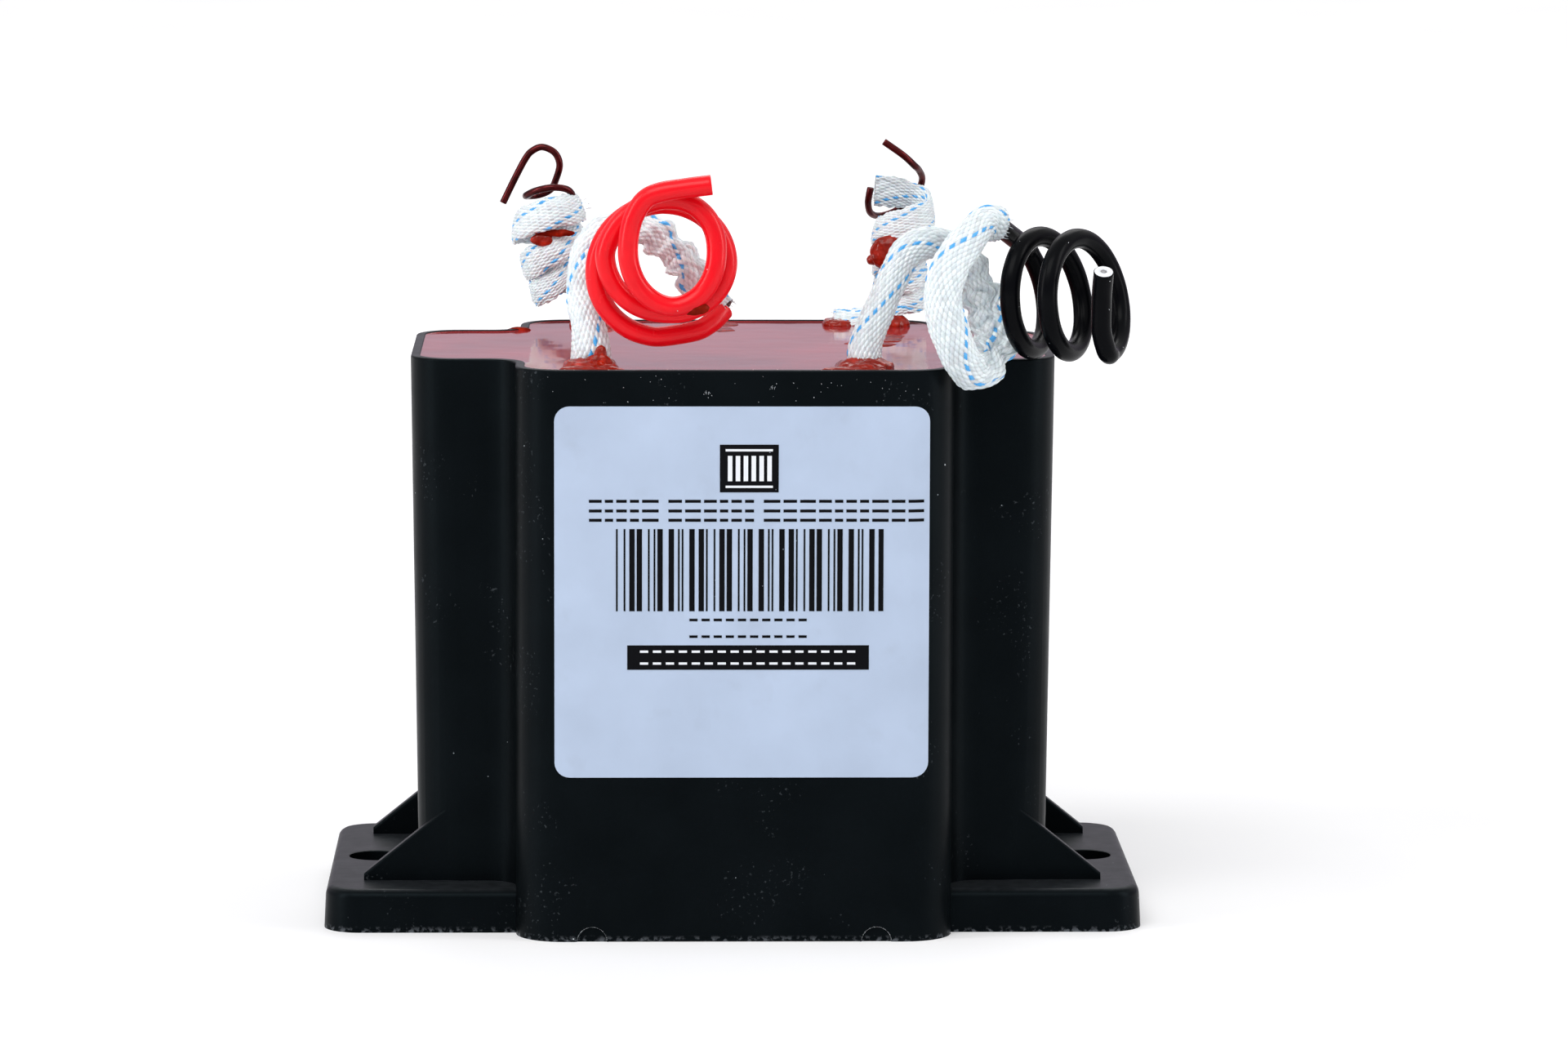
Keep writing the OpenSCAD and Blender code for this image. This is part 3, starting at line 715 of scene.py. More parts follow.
def even_ellipse(wide, deep, count):
    """Angles of an ellipse that part its outline evenly."""
    fine = np.linspace(0, 2*math.pi, 721)
    x, y = wide*np.cos(fine), deep*np.sin(fine)
    run = np.concatenate([[0], np.cumsum(np.hypot(np.diff(x), np.diff(y)))])
    return np.interp(np.arange(count)/count*run[-1], run, fine)


def wobble(at, reach, seed):
    """Slow random swing between about -1 and 1 along a cord."""
    return np.array([2*noise.noise((s/reach, seed, 0.0)) for s in at])


def build_tube(name, rings, attributes):
    """Closed mesh through rings of points in millimetres, with point attributes."""
    rows, count = rings.shape[:2]
    first = np.arange(rows - 1)[:, None]*count
    ring = np.arange(count)[None, :]
    after = (ring + 1) % count
    quads = np.stack([first + ring, first + after, first + count + after,
                      first + count + ring], 2).reshape(-1, 4)
    caps = [list(range(count))[::-1], [(rows - 1)*count + i for i in range(count)]]
    return make_mesh(name, (rings.reshape(-1, 3)*MM).tolist(), quads.tolist() + caps,
                     attributes)


def cross_rings(line, frames, wide, deep, angles, lift=0.0):
    """Rings of an elliptic section along a line, each point lifted outwards."""
    along, sides, thirds = frames
    cos, sin = np.cos(angles)[None, :, None], np.sin(angles)[None, :, None]
    wide, deep = wide[:, None, None], deep[:, None, None]
    outward = unit(cos/wide*sides[:, None] + sin/deep*thirds[:, None])
    return line[:, None] + wide*cos*sides[:, None] + deep*sin*thirds[:, None] + lift*outward


def with_mouths(line, frames, wide, deep, angles, rings, layers, wall=0.3, depth=2.2):
    """Rings and attributes with an open mouth at both ends, wall mm thick."""
    ends = []
    for pick, way in ((FIRST, 1), (LAST, -1)):
        part = [f[pick] for f in frames]
        ends.append([cross_rings(line[pick] + way*back*part[0], part,
                                 np.maximum(wide[pick] - wall*share, 0.1),
                                 np.maximum(deep[pick] - wall*share, 0.1), angles)
                     for share, back in ((0.5, 0.0), (1.0, 0.12), (1.25, depth))])
    # Inside the mouths rise is -1, which the braid's material paints dark brown-grey: painted
    # shade in the opening
    inside = {"tone": 0.4, "rise": -1.0, "tracer": 0.0}
    padded = {key: np.pad(values, ((3, 3), (0, 0)), constant_values=inside[key])
              for key, values in layers.items()}
    return np.concatenate([*ends[0][::-1], rings, *ends[1]]), padded


def creases(at, angles, fold, seed):
    """Sharp valleys over a sleeve, as deep as fold says along it, in millimetres."""
    depth = np.zeros((len(at), len(angles)))
    for i, (s, amount) in enumerate(zip(at, fold)):
        if amount > 0.01:
            for k, angle in enumerate(angles):
                bent = noise.noise((1.1*math.cos(angle) + seed, 1.1*math.sin(angle), s/2.2))
                depth[i, k] = amount*max(0.0, 1 - 3.2*abs(bent))
    return depth


def braided(name, line, at, frames, leads, half_wide, half_deep, seed, tracers,
            crumple, shape, steps=6):
    """Sleeve braided one over, one under, along a line in millimetres.

    The rows of shape say, for shares of its length, how much of its width and depth is
    left there and how deep its creases are.
    """
    carriers, pitch = leads.carriers, leads.yarn_pitch/MM
    height = leads.yarn_height/MM
    rows = np.array(shape, float)
    swell, press, fold = [np.interp(at/at[-1], rows[:, 0], rows[:, k]) for k in (1, 2, 3)]
    wide = (half_wide - height)*swell*(1 + (crumple + 0.2*fold)*wobble(at, 4.0, seed)
                                       + 0.3*fold*np.sin(2*math.pi*at/3.8))
    deep = (half_deep - height)*press*(1 + (2.2*crumple + 0.3*fold)
                                       * wobble(at, 3.0, seed + 7))
    angles = even_ellipse(half_wide, half_deep, carriers*steps)
    around = np.arange(carriers*steps)[None, :]/steps
    sway = 0.12*wobble(at, 5.0, seed + 3)[:, None]
    right = around + (at/pitch)[:, None] + sway
    left = around - (at/pitch)[:, None] + sway
    right_share, left_share = right % 1 - 0.5, left % 1 - 0.5
    over = (np.floor(right) + np.floor(left)) % 2 == 0
    width = np.where(over, right_share, left_share)
    length = np.where(over, left_share, right_share)
    rise = np.sqrt(np.clip(1 - (BUNDLE*width)**2, 0, 1))*(
        DIP + (1 - DIP)*np.cos(math.pi*length))
    yarn = np.where(over, np.floor(right), np.floor(left) + 100) % carriers
    yarn = np.where(over, yarn, yarn + carriers)
    luck = np.array([noise.random() for _ in range(2*carriers)])
    tone = luck[yarn.astype(int)]*0.6 + 0.2
    tracer = (np.isin(yarn, tracers) & (abs(width) < TRACER_REACH)).astype(float)
    lift = rise*height - creases(at, angles, fold, seed)
    rings = cross_rings(line, frames, wide, deep, angles, lift[..., None])
    rings, layers = with_mouths(line, frames, wide, deep, angles, rings,
                                {"rise": rise, "tone": tone, "tracer": tracer})
    return build_tube(name, rings, layers)


def round_cord(name, line, frames, diameter, sides, bore=0.0, sag=1.0):
    """Round wire along a line in millimetres, with a lip and a bore at its far end."""
    radius = diameter/MM/2
    angles = np.arange(sides)/sides*2*math.pi
    swell = radius*sag*np.ones(len(line))

    def lip(pick, reach, out):
        """A ring beyond one end."""
        wide = np.array([max(reach, THIN)])
        return cross_rings(line[pick] + out*frames[0][pick], [f[pick] for f in frames],
                           wide, wide, angles)
    inner = bore/MM/2
    return build_tube(name, np.concatenate([
        lip(FIRST, 0.0, -0.09), lip(FIRST, CUT_EDGE*radius, -0.07),
        cross_rings(line, frames, swell, swell, angles),
        lip(LAST, CUT_EDGE*radius, 0.05), lip(LAST, inner, 0.05),
        lip(LAST, inner, -0.02)]), {})


def strands(name, root, aim, count, length, thickness, spread, seed, reach):
    """Loose fibres that fan out of a sleeve's mouth, as thin three-sided tubes."""
    noise.seed_set(seed)
    aim = Vector(aim).normalized()
    side = aim.orthogonal().normalized()
    third = aim.cross(side)
    points, faces = [], []
    for _ in range(count):
        turn = noise.random()*2*math.pi
        out = side*math.cos(turn) + third*math.sin(turn)
        start = Vector(root) + out*reach*math.sqrt(noise.random())
        heading = (aim + out*spread*noise.random()
                   + 0.3*noise.random_unit_vector()).normalized()
        curl = noise.random_unit_vector()*0.5
        size = length*(0.45 + 0.55*noise.random())
        base = len(points)
        for step in range(4):
            share = step/3
            centre = start + heading*size*share + curl*size*share*share*0.5
            radius = thickness*(1 - 0.6*share)/2
            for k in range(3):
                angle = 2*math.pi*k/3
                points.append((centre + (side*math.cos(angle) + third*math.sin(angle))
                               * radius)*MM)
        for step in range(3):
            for k in range(3):
                a, b = base + 3*step + k, base + 3*step + (k + 1) % 3
                faces.append((a, b, b + 3, a + 3))
        faces.append((base + 2, base + 1, base))
        faces.append((base + 9, base + 10, base + 11))
    return make_mesh(name, points, faces, {
        key: np.full(len(points), value)
        for key, value in (("tone", 0.6), ("rise", 1.0), ("tracer", 0.0))})


def scatter(name, places, seed):
    """Small chips at places in millimetres with a size each, turned and flattened."""
    noise.seed_set(seed)
    deselect()
    for index, (*spot, size) in enumerate(places):
        bpy.ops.mesh.primitive_ico_sphere_add(
            subdivisions=1, radius=size*MM, location=[s*MM for s in spot],
            rotation=[3*noise.random() for _ in range(3)], scale=(1, 0.55, 0.75))
        if index == 0:
            made = settle(name)
            bpy.ops.object.mode_set(mode="EDIT")
    finish_edit()
    return made


def red_coil_line():
    """Places of the red wire, from the sleeve's mouth round the coil to its cut end."""
    turns = np.radians(np.arange(180, 991, 15))
    marks = np.radians([s[0] for s in RED_COIL_STATIONS])
    steps = np.array([[*s[1], *s[2:]] for s in RED_COIL_STATIONS])
    x, y, z, wide, high = [np.interp(turns, marks, steps[:, k]) for k in range(5)]
    coil = np.stack([x + wide*np.sin(turns), y, z + high*np.cos(turns)], 1)
    return [*RED_WIRE_START, *coil.tolist(), *RED_WIRE_END]


def black_coil_line():
    """Places of the black wire: upright turns, with the last ones beside the case."""
    front = np.array([-0.5, -0.866, 0.0])
    top = np.array([-0.13, 0.0, 0.99])
    places = []
    for quarter in np.arange(-1.7, 8.01, 1/6):
        turn = math.pi/2*(quarter - 1)
        middle = np.array([39.3 + 1.21*quarter, -23 - 0.72*quarter, 86.6])
        places.append(middle + 7.75*(math.cos(turn)*front + math.sin(turn)*top))
    start = np.array(BLACK_SLEEVE_ROUTE[-1])
    return [start.tolist(), *[p.tolist() for p in places[1:]], *BLACK_WIRE_END]


def wound_line(stations, first_angle, start, finish, per_turn=16):
    """Places of a sleeve wound through its stations, whose turns lean to the left."""
    marks = [s[0] for s in stations]
    steps = np.array([[*s[1], *s[2:]] for s in stations])
    count = int((finish - start)*per_turn)
    places = []
    for turn in np.linspace(start, finish, count + 1):
        x, y, z, r, lean = [np.interp(turn, marks, steps[:, k]) for k in range(5)]
        lean = math.radians(lean)
        angle = 2*math.pi*turn + math.radians(first_angle)
        across = r*math.cos(angle)
        places.append((x + across*math.cos(lean), y + r*math.sin(angle),
                       z + across*math.sin(lean)))
    return places


def add_sleeve(name, points, leads, draw, nodes, frays, guides=None, middle=None,
               riders=(), **weave):
    """Guides make it one of the small flat sleeves, which are wound round a middle.
    """
    width, depth, step, lay = (
        (leads.tape_width, leads.tape_depth, 0.12, "coiled") if guides else
        (leads.sleeve_width, leads.sleeve_depth, 0.11, "loose"))
    braid = bpy.data.materials["glass_braid"]
    line, at = smooth_line(points, step)
    frames = guided_sides(line, at, guides, middle) if guides else faced_sides(line)
    noise.seed_set(draw)
    sleeve = braided(name, line, at, frames, leads, width/MM/2, depth/MM/2, **weave)
    hand_over(sleeve, braid, "braid", *nodes)
    tips = list(riders)
    for label, end, way, *tuft in frays:
        aim = way*frames[0][end]
        tip = strands(label, line[end] - 0.3*aim, aim, *tuft)
        tips.append(hand_over(tip, braid, "braid"))


def add_wire(name, points, side, leads, seed, material, slot, *nodes):
    """One high-voltage wire, a little uneven, with its line, distances and sides."""
    line, at = smooth_line(points, 0.35)
    frames = carried_sides(line, side)
    wire = round_cord(name, line, frames, leads.wire_diameter, 32, leads.bore_diameter,
                      1 + 0.012*wobble(at, 2.5, seed))
    return hand_over(wire, material, slot, *nodes), line, at, frames


# Operators

class CaseOperator(bpy.types.Operator):
    """Model the moulded case with its flange, ribs, holes and sprue marks"""
    bl_idname = "transformer.case"
    bl_label = "Moulded case"

    def body(self, s):
        """The stepped pot, hollow down to its floor."""
        pot = stepped_block("moulded_case", s, 0, RIM_Z)
        select(pot, "FACE", faces_up)
        bpy.ops.mesh.inset(thickness=s.wall, depth=0)
        bpy.ops.mesh.extrude_region_move(
            TRANSFORM_OT_translate={"value": (0, 0, s.floor - RIM_Z)})
        finish_edit()

        def at_rim(edge, outside):
            walls = [f for f in edge.link_faces if abs(f.normal.z) < 0.5]
            return (all(v.co.z > RIM_Z - NEAR for v in edge.verts) and len(walls) == 1
                    and (min(v.co.z for v in walls[0].verts) < s.floor/2) == outside)
        round_edges(pot, lambda e: at_rim(e, True), s.rim_round, 3)
        round_edges(pot, lambda e: at_rim(e, False), s.rim_inner, 1)
        for side in (1, -1):
            select(pot, "VERT", lambda v: v.co.z < NEAR
                   and v.co.x*side > lobe_end(s) - s.lobe_radius - NEAR)
            bpy.ops.transform.translate(value=(-side*s.lean, 0, 0))
            finish_edit()
        return pot

    def flange(self, s):
        """The mounting flange, with round corners and a round top edge."""
        plate = add_box("flange", (CASE_LOW.x, -s.flange_depth/2, 0),
                        (CASE_HIGH.x, s.flange_depth/2, s.flange_height))
        round_edges(plate, upright, s.flange_radius, 10)
        select(plate, "FACE", faces_up)
        bpy.ops.transform.resize(value=FLANGE_TAPER)
        finish_edit()
        round_edges(plate, lambda e: all(v.co.z > s.flange_height - NEAR for v in e.verts),
                    s.flange_round, 4)
        return plate

    def rib(self, s, end, side):
        """One gusset rib, a box whose outer top edge is brought down to its toe."""
        outer = s.lobe_depth/2 - RIB_INSET
        low = s.flange_height - RIB_SINK
        xs = sorted((end*(RIB_TOE - s.rib_length), end*RIB_TOE))
        ys = sorted((side*(outer - s.rib_thickness), side*outer))
        wedge = add_box("rib", (xs[0], ys[0], low),
                        (xs[1], ys[1], s.flange_height + s.rib_height))
        select(wedge, "VERT", lambda v: v.co.z > low + 10*NEAR
               and v.co.x*end > RIB_TOE - 10*NEAR)
        bpy.ops.transform.translate(value=(0, 0, RIB_TOE_HEIGHT - s.rib_height))
        finish_edit()

        def slopes(edge):
            drop = abs(edge.verts[0].co.z - edge.verts[1].co.z)
            return 0.2 < drop/max(edge.calc_length(), 1e-9) < 0.95
        round_edges(wedge, slopes, RIB_ROUND, 3)
        return wedge

    def drill(self, pot, diameter, depth, place, sides, tilt):
        """Cut a round hole, upright or from the front."""
        deselect()
        bpy.ops.mesh.primitive_cylinder_add(vertices=sides, radius=diameter/2, depth=depth,
                                            location=place, rotation=(tilt, 0, 0))
        combine(pot, settle("drill"), "DIFFERENCE")

    def round_mouths(self, pot, axis, level, span, diameter, radius):
        """Round the mouths of the two holes that lie at a level of an axis."""
        def at_mouth(edge):
            return all(abs(v.co[axis] - level) < NEAR and abs(math.hypot(
                abs(v.co.x) - span/2, v.co[3 - axis]) - diameter/2) < 10*NEAR
                for v in edge.verts)
        round_edges(pot, at_mouth, radius, 2)

    def execute(self, context):
        s, _, _, finish, _ = settings(context)
        pot = self.body(s)
        combine(pot, self.flange(s), "UNION")
        for end in (1, -1):
            for side in (1, -1):
                combine(pot, self.rib(s, end, side), "UNION")
        for end in (1, -1):
            self.drill(pot, s.hole_diameter, HOLE_HEIGHT, (end*s.hole_span/2, 0, 0.005),
                       64, 0)
            self.drill(pot, s.gate_width, GATE_HEIGHT,
                       (end*s.gate_span/2, FACE_Y - GATE_BACK, 0), 40, math.pi/2)
        self.round_mouths(pot, 1, FACE_Y, s.gate_span, s.gate_width, GATE_ROUND)
        self.round_mouths(pot, 2, s.flange_height, s.hole_span, s.hole_diameter,
                          HOLE_ROUND)
        smooth(pot, 32)
        hand_over(pot, moulded_nylon(finish.case), "case_plastic", "case")
        return {"FINISHED"}


class ResinOperator(bpy.types.Operator):
    """Model the resin's top, which climbs a little at the wall"""
    bl_idname = "transformer.resin"
    bl_label = "Cured resin"

    def execute(self, context):
        s, resin, _, finish, _ = settings(context)
        skin = stepped_block("resin_surface", s, RESIN_Z - SKIN_SINK,
                             RESIN_Z + resin.rise + resin.climb, s.wall - resin.lap)
        select(skin, "FACE", faces_up)
        # Steps inwards from the wall: share of the reach, share of the climb
        for share, drop in ((0.12, 0.5), (0.2, 0.3), (0.3, 0.15), (0.38, 0.05)):
            bpy.ops.mesh.inset(thickness=resin.reach*share, depth=-resin.climb*drop)
        finish_edit()
        smooth(skin, 40)
        material = cured_resin(finish.resin)
        hand_over(skin, material, "epoxy")
        dress_solid("potting_resin", material)
        return {"FINISHED"}


def dashes(count, start, stop, pitch, *levels):
    """Rows of equal bars in millimetres, each row between two heights."""
    return [(start + pitch*i, low, stop + pitch*i, high)
            for i in range(count) for low, high in levels]


def title_dashes():
    """Words of a title as bars of uneven width, in millimetres."""
    words, x, first, last = [], -20.4, -20.4, 24.3
    widths = (1.7, 1.2, 2.1, 1.4, 1.8, 1.1, 2.2)
    for index in range(21):
        width = widths[index*5 % 7]
        words.append((x, x + width))
        x += width + (1.3 if index in (4, 10) else 0.42)
    scale = (last - first)/(words[-1][1] - first)
    return [(first + (a - first)*scale, low, first + (b - first)*scale, high)
            for a, b in words for low, high in ((9.55, 9.95), (10.8, 11.2), (12.1, 12.5))]


def code_bars():
    """Bars of uneven width and spacing, in millimetres."""
    bars, x, index = [], -16.8, 0
    while x < 18.4:
        width = 0.24 + 0.24*((index*7 + index*index) % 4)
        bars.append((x, -2.5, min(x + width, 18.9), 8.57))
        x += width + 0.26 + 0.26*((index*5 + 2) % 3)
        index += 1
    return bars


class LabelOperator(bpy.types.Operator):
    """Lay the label on the front of the case, with its plain print"""
    bl_idname = "transformer.label"
    bl_label = "Front label"

    def marks(self, s, name, boxes, material, lift=0.0):
        """Print from boxes in millimetres round the label's middle, bent at the corner."""
        middle = (LABEL_LOW + LABEL_HIGH)/2
        deselect()
        front = FACE_Y - FILM
        for index, (x0, z0, x1, z1) in enumerate(boxes):
            low = Vector((middle.x + x0*MM, front - 1.5*INK, middle.z + z0*MM))
            high = Vector((middle.x + x1*MM, front + INK, middle.z + z1*MM))
            bpy.ops.mesh.primitive_cube_add(size=1, location=(low + high)/2, scale=high - low)
            if index == 0:
                piece = settle(name)
                bpy.ops.object.mode_set(mode="EDIT")
        flat = s.block_length/2 - s.block_radius
        self.cut(flat, 1, 8)
        finish_edit()
        radius = s.block_radius + FILM
        for vertex in piece.data.vertices:
            beyond = max(0.0, vertex.co.x - flat)
            vertex.co.y += radius - math.sqrt(radius**2 - beyond**2)
            vertex.co.y -= lift
        return hand_over(piece, material, "label_film")

    def cut(self, flat, end, count):
        """Cut what is edited into strips, so that it can bend past the flat face."""
        for step in range(count):
            bpy.ops.mesh.select_all(action="SELECT")
            bpy.ops.mesh.bisect(plane_co=(end*(flat + step*BEND_STEP), 0, 0),
                                plane_no=(1, 0, 0))

    def sheet(self, s):
        """The label itself, pressed on a block with the case's round corners."""
        middle = (LABEL_LOW + LABEL_HIGH)/2
        deselect()
        bpy.ops.mesh.primitive_plane_add(
            size=LABEL_HIGH.z - LABEL_LOW.z, location=(middle.x, FACE_Y - 0.004, middle.z),
            rotation=(math.pi/2, 0, 0))
        label = settle("label_sheet")
        bpy.ops.object.mode_set(mode="EDIT")
        bpy.ops.mesh.select_all(action="SELECT")
        bpy.ops.mesh.bevel(offset=LABEL_ROUND, segments=6, affect="VERTICES")
        for end in (1, -1):
            self.cut(s.block_length/2 - s.block_radius, end, 12)
        bpy.ops.mesh.select_all(action="SELECT")
        bpy.ops.mesh.bisect(plane_co=(0, 0, middle.z), plane_no=(0, 0, 1))
        finish_edit()
        block = add_box("press", (-s.block_length/2, -s.block_depth/2, 0),
                        (s.block_length/2, s.block_depth/2, RIM_Z))
        round_edges(block, upright, s.block_radius, 48)
        apply_modifier(label, "SHRINKWRAP", target=block, wrap_method="PROJECT",
                       use_project_y=True, use_positive_direction=True)
        bpy.data.objects.remove(block, do_unlink=True)
        apply_modifier(label, "SOLIDIFY", thickness=FILM, offset=1)
        smooth(label, 30)
        return label

    def execute(self, context):
        s, _, _, finish, _ = settings(context)
        hand_over(self.sheet(s), label_film(finish.label), "label_film", "front_label")
        # The pale marks wear the label's own film, the same material as the sheet
        paper = bpy.data.materials["label_film"]
        ink = printed_ink(finish.ink)
        self.marks(s, "badge_field", [(-2.96, 13.5, 4.88, 19.9)], ink)
        core = [(-2.2, 19.0, 4.1, 19.3), (-2.2, 14.1, 4.1, 14.4)]
        turns = dashes(6, -1.9, -1.3, 1.05, (15.0, 18.4))
        self.marks(s, "badge_winding", turns + core, paper, INK)
        self.marks(s, "title_bars", title_dashes(), ink)
        self.marks(s, "bar_field", code_bars(), ink)
        self.marks(s, "code_dashes",
                   dashes(10, -7, -5.9, 1.62, (-6.1, -5.75), (-3.85, -3.5)), ink)
        self.marks(s, "dark_band", [(-15.3, -10.4, 17, -7.1)], ink)
        self.marks(s, "band_dashes",
                   dashes(17, -13.6, -12.5, 1.73, (-9.7, -9.4), (-8.1, -7.8)), paper, INK)
        return {"FINISHED"}


class SealantOperator(bpy.types.Operator):
    """Dab the sealant round the leads and over the wound sleeves"""
    bl_idname = "transformer.sealant"
    bl_label = "Sealant"

    def dab(self, name, at, half, seed, lumps, flat=1.0):
        """One lump of sealant from a ball, in millimetres, roughened and flattened."""
        deselect()
        bpy.ops.mesh.primitive_ico_sphere_add(subdivisions=5, radius=1)
        bpy.ops.transform.resize(value=[h*MM for h in half])
        bpy.ops.transform.translate(value=[a*MM for a in at])
        lump = settle(name)
        clouds = bpy.data.textures.new(name, "CLOUDS")
        clouds.noise_scale = (1.3 if flat == 1.0 else 3.0)*MM
        clouds.noise_depth = 2
        nudge = link_new(name + "_shift", None)
        nudge.location = (seed*0.01, 0, 0)
        bpy.context.view_layer.update()
        apply_modifier(lump, "DISPLACE", texture=clouds, strength=lumps*MM, mid_level=0.5,
                       texture_coords="OBJECT", texture_coords_object=nudge)
        bpy.data.objects.remove(nudge, do_unlink=True)
        for vertex in lump.data.vertices:
            vertex.co.z = (at[2] + (vertex.co.z/MM - at[2])*flat)*MM
        activate(lump)
        bpy.ops.object.shade_smooth()
        return lump

    def crumbs(self, finish):
        """Crumbs on the rim, dust on the front, and pale chips round the sprue marks that also
        paint their edge highlight.
        """
        rim, edge = RIM_Z/MM, FACE_Y/MM
        noise.seed_set(77)
        chance = [noise.random() for _ in range(400)]
        along_rim = [(-26 + 52*a, edge + 0.25 + 1.1*b, rim - 0.03, 0.05 + 0.11*c*c)
                     for a, b, c in zip(chance[:60], chance[60:120], chance[120:180])]
        hand_over(scatter("rim_crumbs", along_rim, 5),
                  dried_crumbs("resin_crumbs", "#d0b4b2"), "epoxy")
        spots = [(-25 + 50*a, edge - 0.02, rim - 0.6 - 3.9*b, 0.04 + 0.07*c*c)
                 for a, b, c in zip(chance[180:220], chance[220:260], chance[260:300])]
        for x, z, count in ((-3.7, 74.0, 12), (5.1, 74.7, 9)):
            spots += [(x + 1.1*(chance[300 + i] - 0.5), edge - 0.02,
                       z + 0.9*(chance[330 + i] - 0.5), 0.07) for i in range(count)]
        # Pale chips round each sprue mark: real chips, and also a painted highlight along the
        # mark's edge
        for side in (-1, 1):
            chip_and_highlight_arc = [math.pi*(0.06 + 0.88*i/27) for i in range(28)]
            spots += [(side*19.1 + 2.02*math.cos(a), edge - 0.01, 2.02*math.sin(a),
                       0.03 + 0.06*chance[i + 100 + 40*side]) for i, a in enumerate(chip_and_highlight_arc)]
        hand_over(scatter("front_dust_and_edge_highlight", spots, 6), dried_crumbs("case_dust_and_edge_highlight", "#c6cdd2"),
                  "case_plastic")

    def execute(self, context):
        _, _, _, finish, _ = settings(context)
        material = brushed_sealant("brushed_sealant", finish.sealant, 1.0)
        wiped = brushed_sealant("wiped_sealant", shade(finish.sealant, 0.8), 0.1)
        top = RESIN_Z/MM + SKIN_RISE
        # Name, place, half sizes, shift of the noise, lumps and how much is left of the
        # height where it was wiped flat, in millimetres
        dabs = [
            ("red_lead_dab", (-19.3, -28.2, top), (3.8, 4.0, 1.6), 1, 0.9),
            ("red_lead_skirt", (-19.1, -31.2, top), (4.5, 1.5, 0.7), 13, 0.4),
            ("red_lead_lick", (-17.9, -29.6, top + 1.4), (0.9, 0.45, 1.9), 2, 0.4),
            ("red_lead_film", (-18.2, -29.9, top + 0.7), (1.9, 0.5, 1.3), 18, 0.4),
            ("black_lead_dab", (17.3, -28.2, top), (3.9, 4.0, 1.5), 3, 0.9),
            ("black_lead_skirt", (15.7, -31.2, top), (4.4, 1.4, 0.55), 14, 0.4),
            ("coil_smear", (-5.6, -36.1, 85.7), (2.1, 0.8, 0.9), 15, 0.3),
            ("resin_smear_right", (21.6, 11, top), (2.6, 5.6, 1.6), 16, 3.4, 0.1),
            ("resin_smear_middle", (19.4, 2, top), (3.4, 2.6, 1.5), 17, 3.0, 0.1),
            ("resin_smear_rear", (-0.9, 21.5, top), (1.6, 3.4, 1.3), 19, 2.4, 0.1),
            ("left_lead_dab", (-19.2, 27.4, top), (3.3, 3.2, 1.3), 4, 0.6),
            ("right_lead_puddle", (15.6, 28.6, top), (2.4, 2.6, 1.1), 5, 0.5),
            ("right_lead_dab", (23.2, 27.6, top + 0.2), (2.6, 2.4, 1.5), 6, 0.6),
            ("right_coil_blob", (22.9, 27.2, 87.4), (2.9, 1.1, 2.5), 7, 0.6),
            ("right_coil_lobe", (20.5, 27.9, 86.3), (0.9, 0.8, 0.8), 8, 0.3),
            ("left_coil_smear", (-24.6, 26.4, 90.2), (2.9, 0.5, 0.55), 9, 0.5),
            ("left_coil_run", (-26.4, 26.6, 89.2), (1.5, 0.5, 0.9), 10, 0.5),
            ("rear_rim_smear_left", (-29.5, 20.8, top), (1.7, 0.8, 0.5), 11, 0.4),
            ("rear_rim_smear_middle", (-0.3, 29.2, top), (1.4, 2.8, 1.4), 12, 2.4, 0.1)]
        made = [hand_over(self.dab(*row), wiped if "smear" in row[0] else material, "sealant")
                for row in dabs]
        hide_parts("sealant_dabs")
        self.crumbs(finish)
        return {"FINISHED"}


class RedLeadOperator(bpy.types.Operator):
    """Braid the front left sleeve and coil its red wire"""
    bl_idname = "transformer.red_lead"
    bl_label = "Red lead"

    def execute(self, context):
        _, _, leads, finish, _ = settings(context)
        glass_braid("glass_braid", finish.braid, finish.tracer)
        add_sleeve("red_lead_sleeve", RED_SLEEVE_ROUTE, leads, 11, ["red_sleeve"],
                   [("red_lead_fray", -1, 1, 24, 1.1, 0.12, 0.7, 21, 1.8)], seed=1.0,
                   tracers=(23, 33), crumple=0.07, shape=(
                       (0, 1.1, 1, 0.08), (0.4, 1, 1, 0.06), (0.55, 1.08, 0.95, 0.4),
                       (0.85, 1.1, 0.95, 0.42), (0.93, 0.95, 0.9, 0.35), (1, 0.95, 1, 0.25)))
        red = silicone_rubber("red_silicone", finish.red_wire, 0.1, 0.3)
        wire, line, at, _ = add_wire("red_wire", red_coil_line(), (0, 1, 0), leads, 4.0, red,
                                     "red_silicone", "red_wire_coil", "red_wire_end")
        return {"FINISHED"}


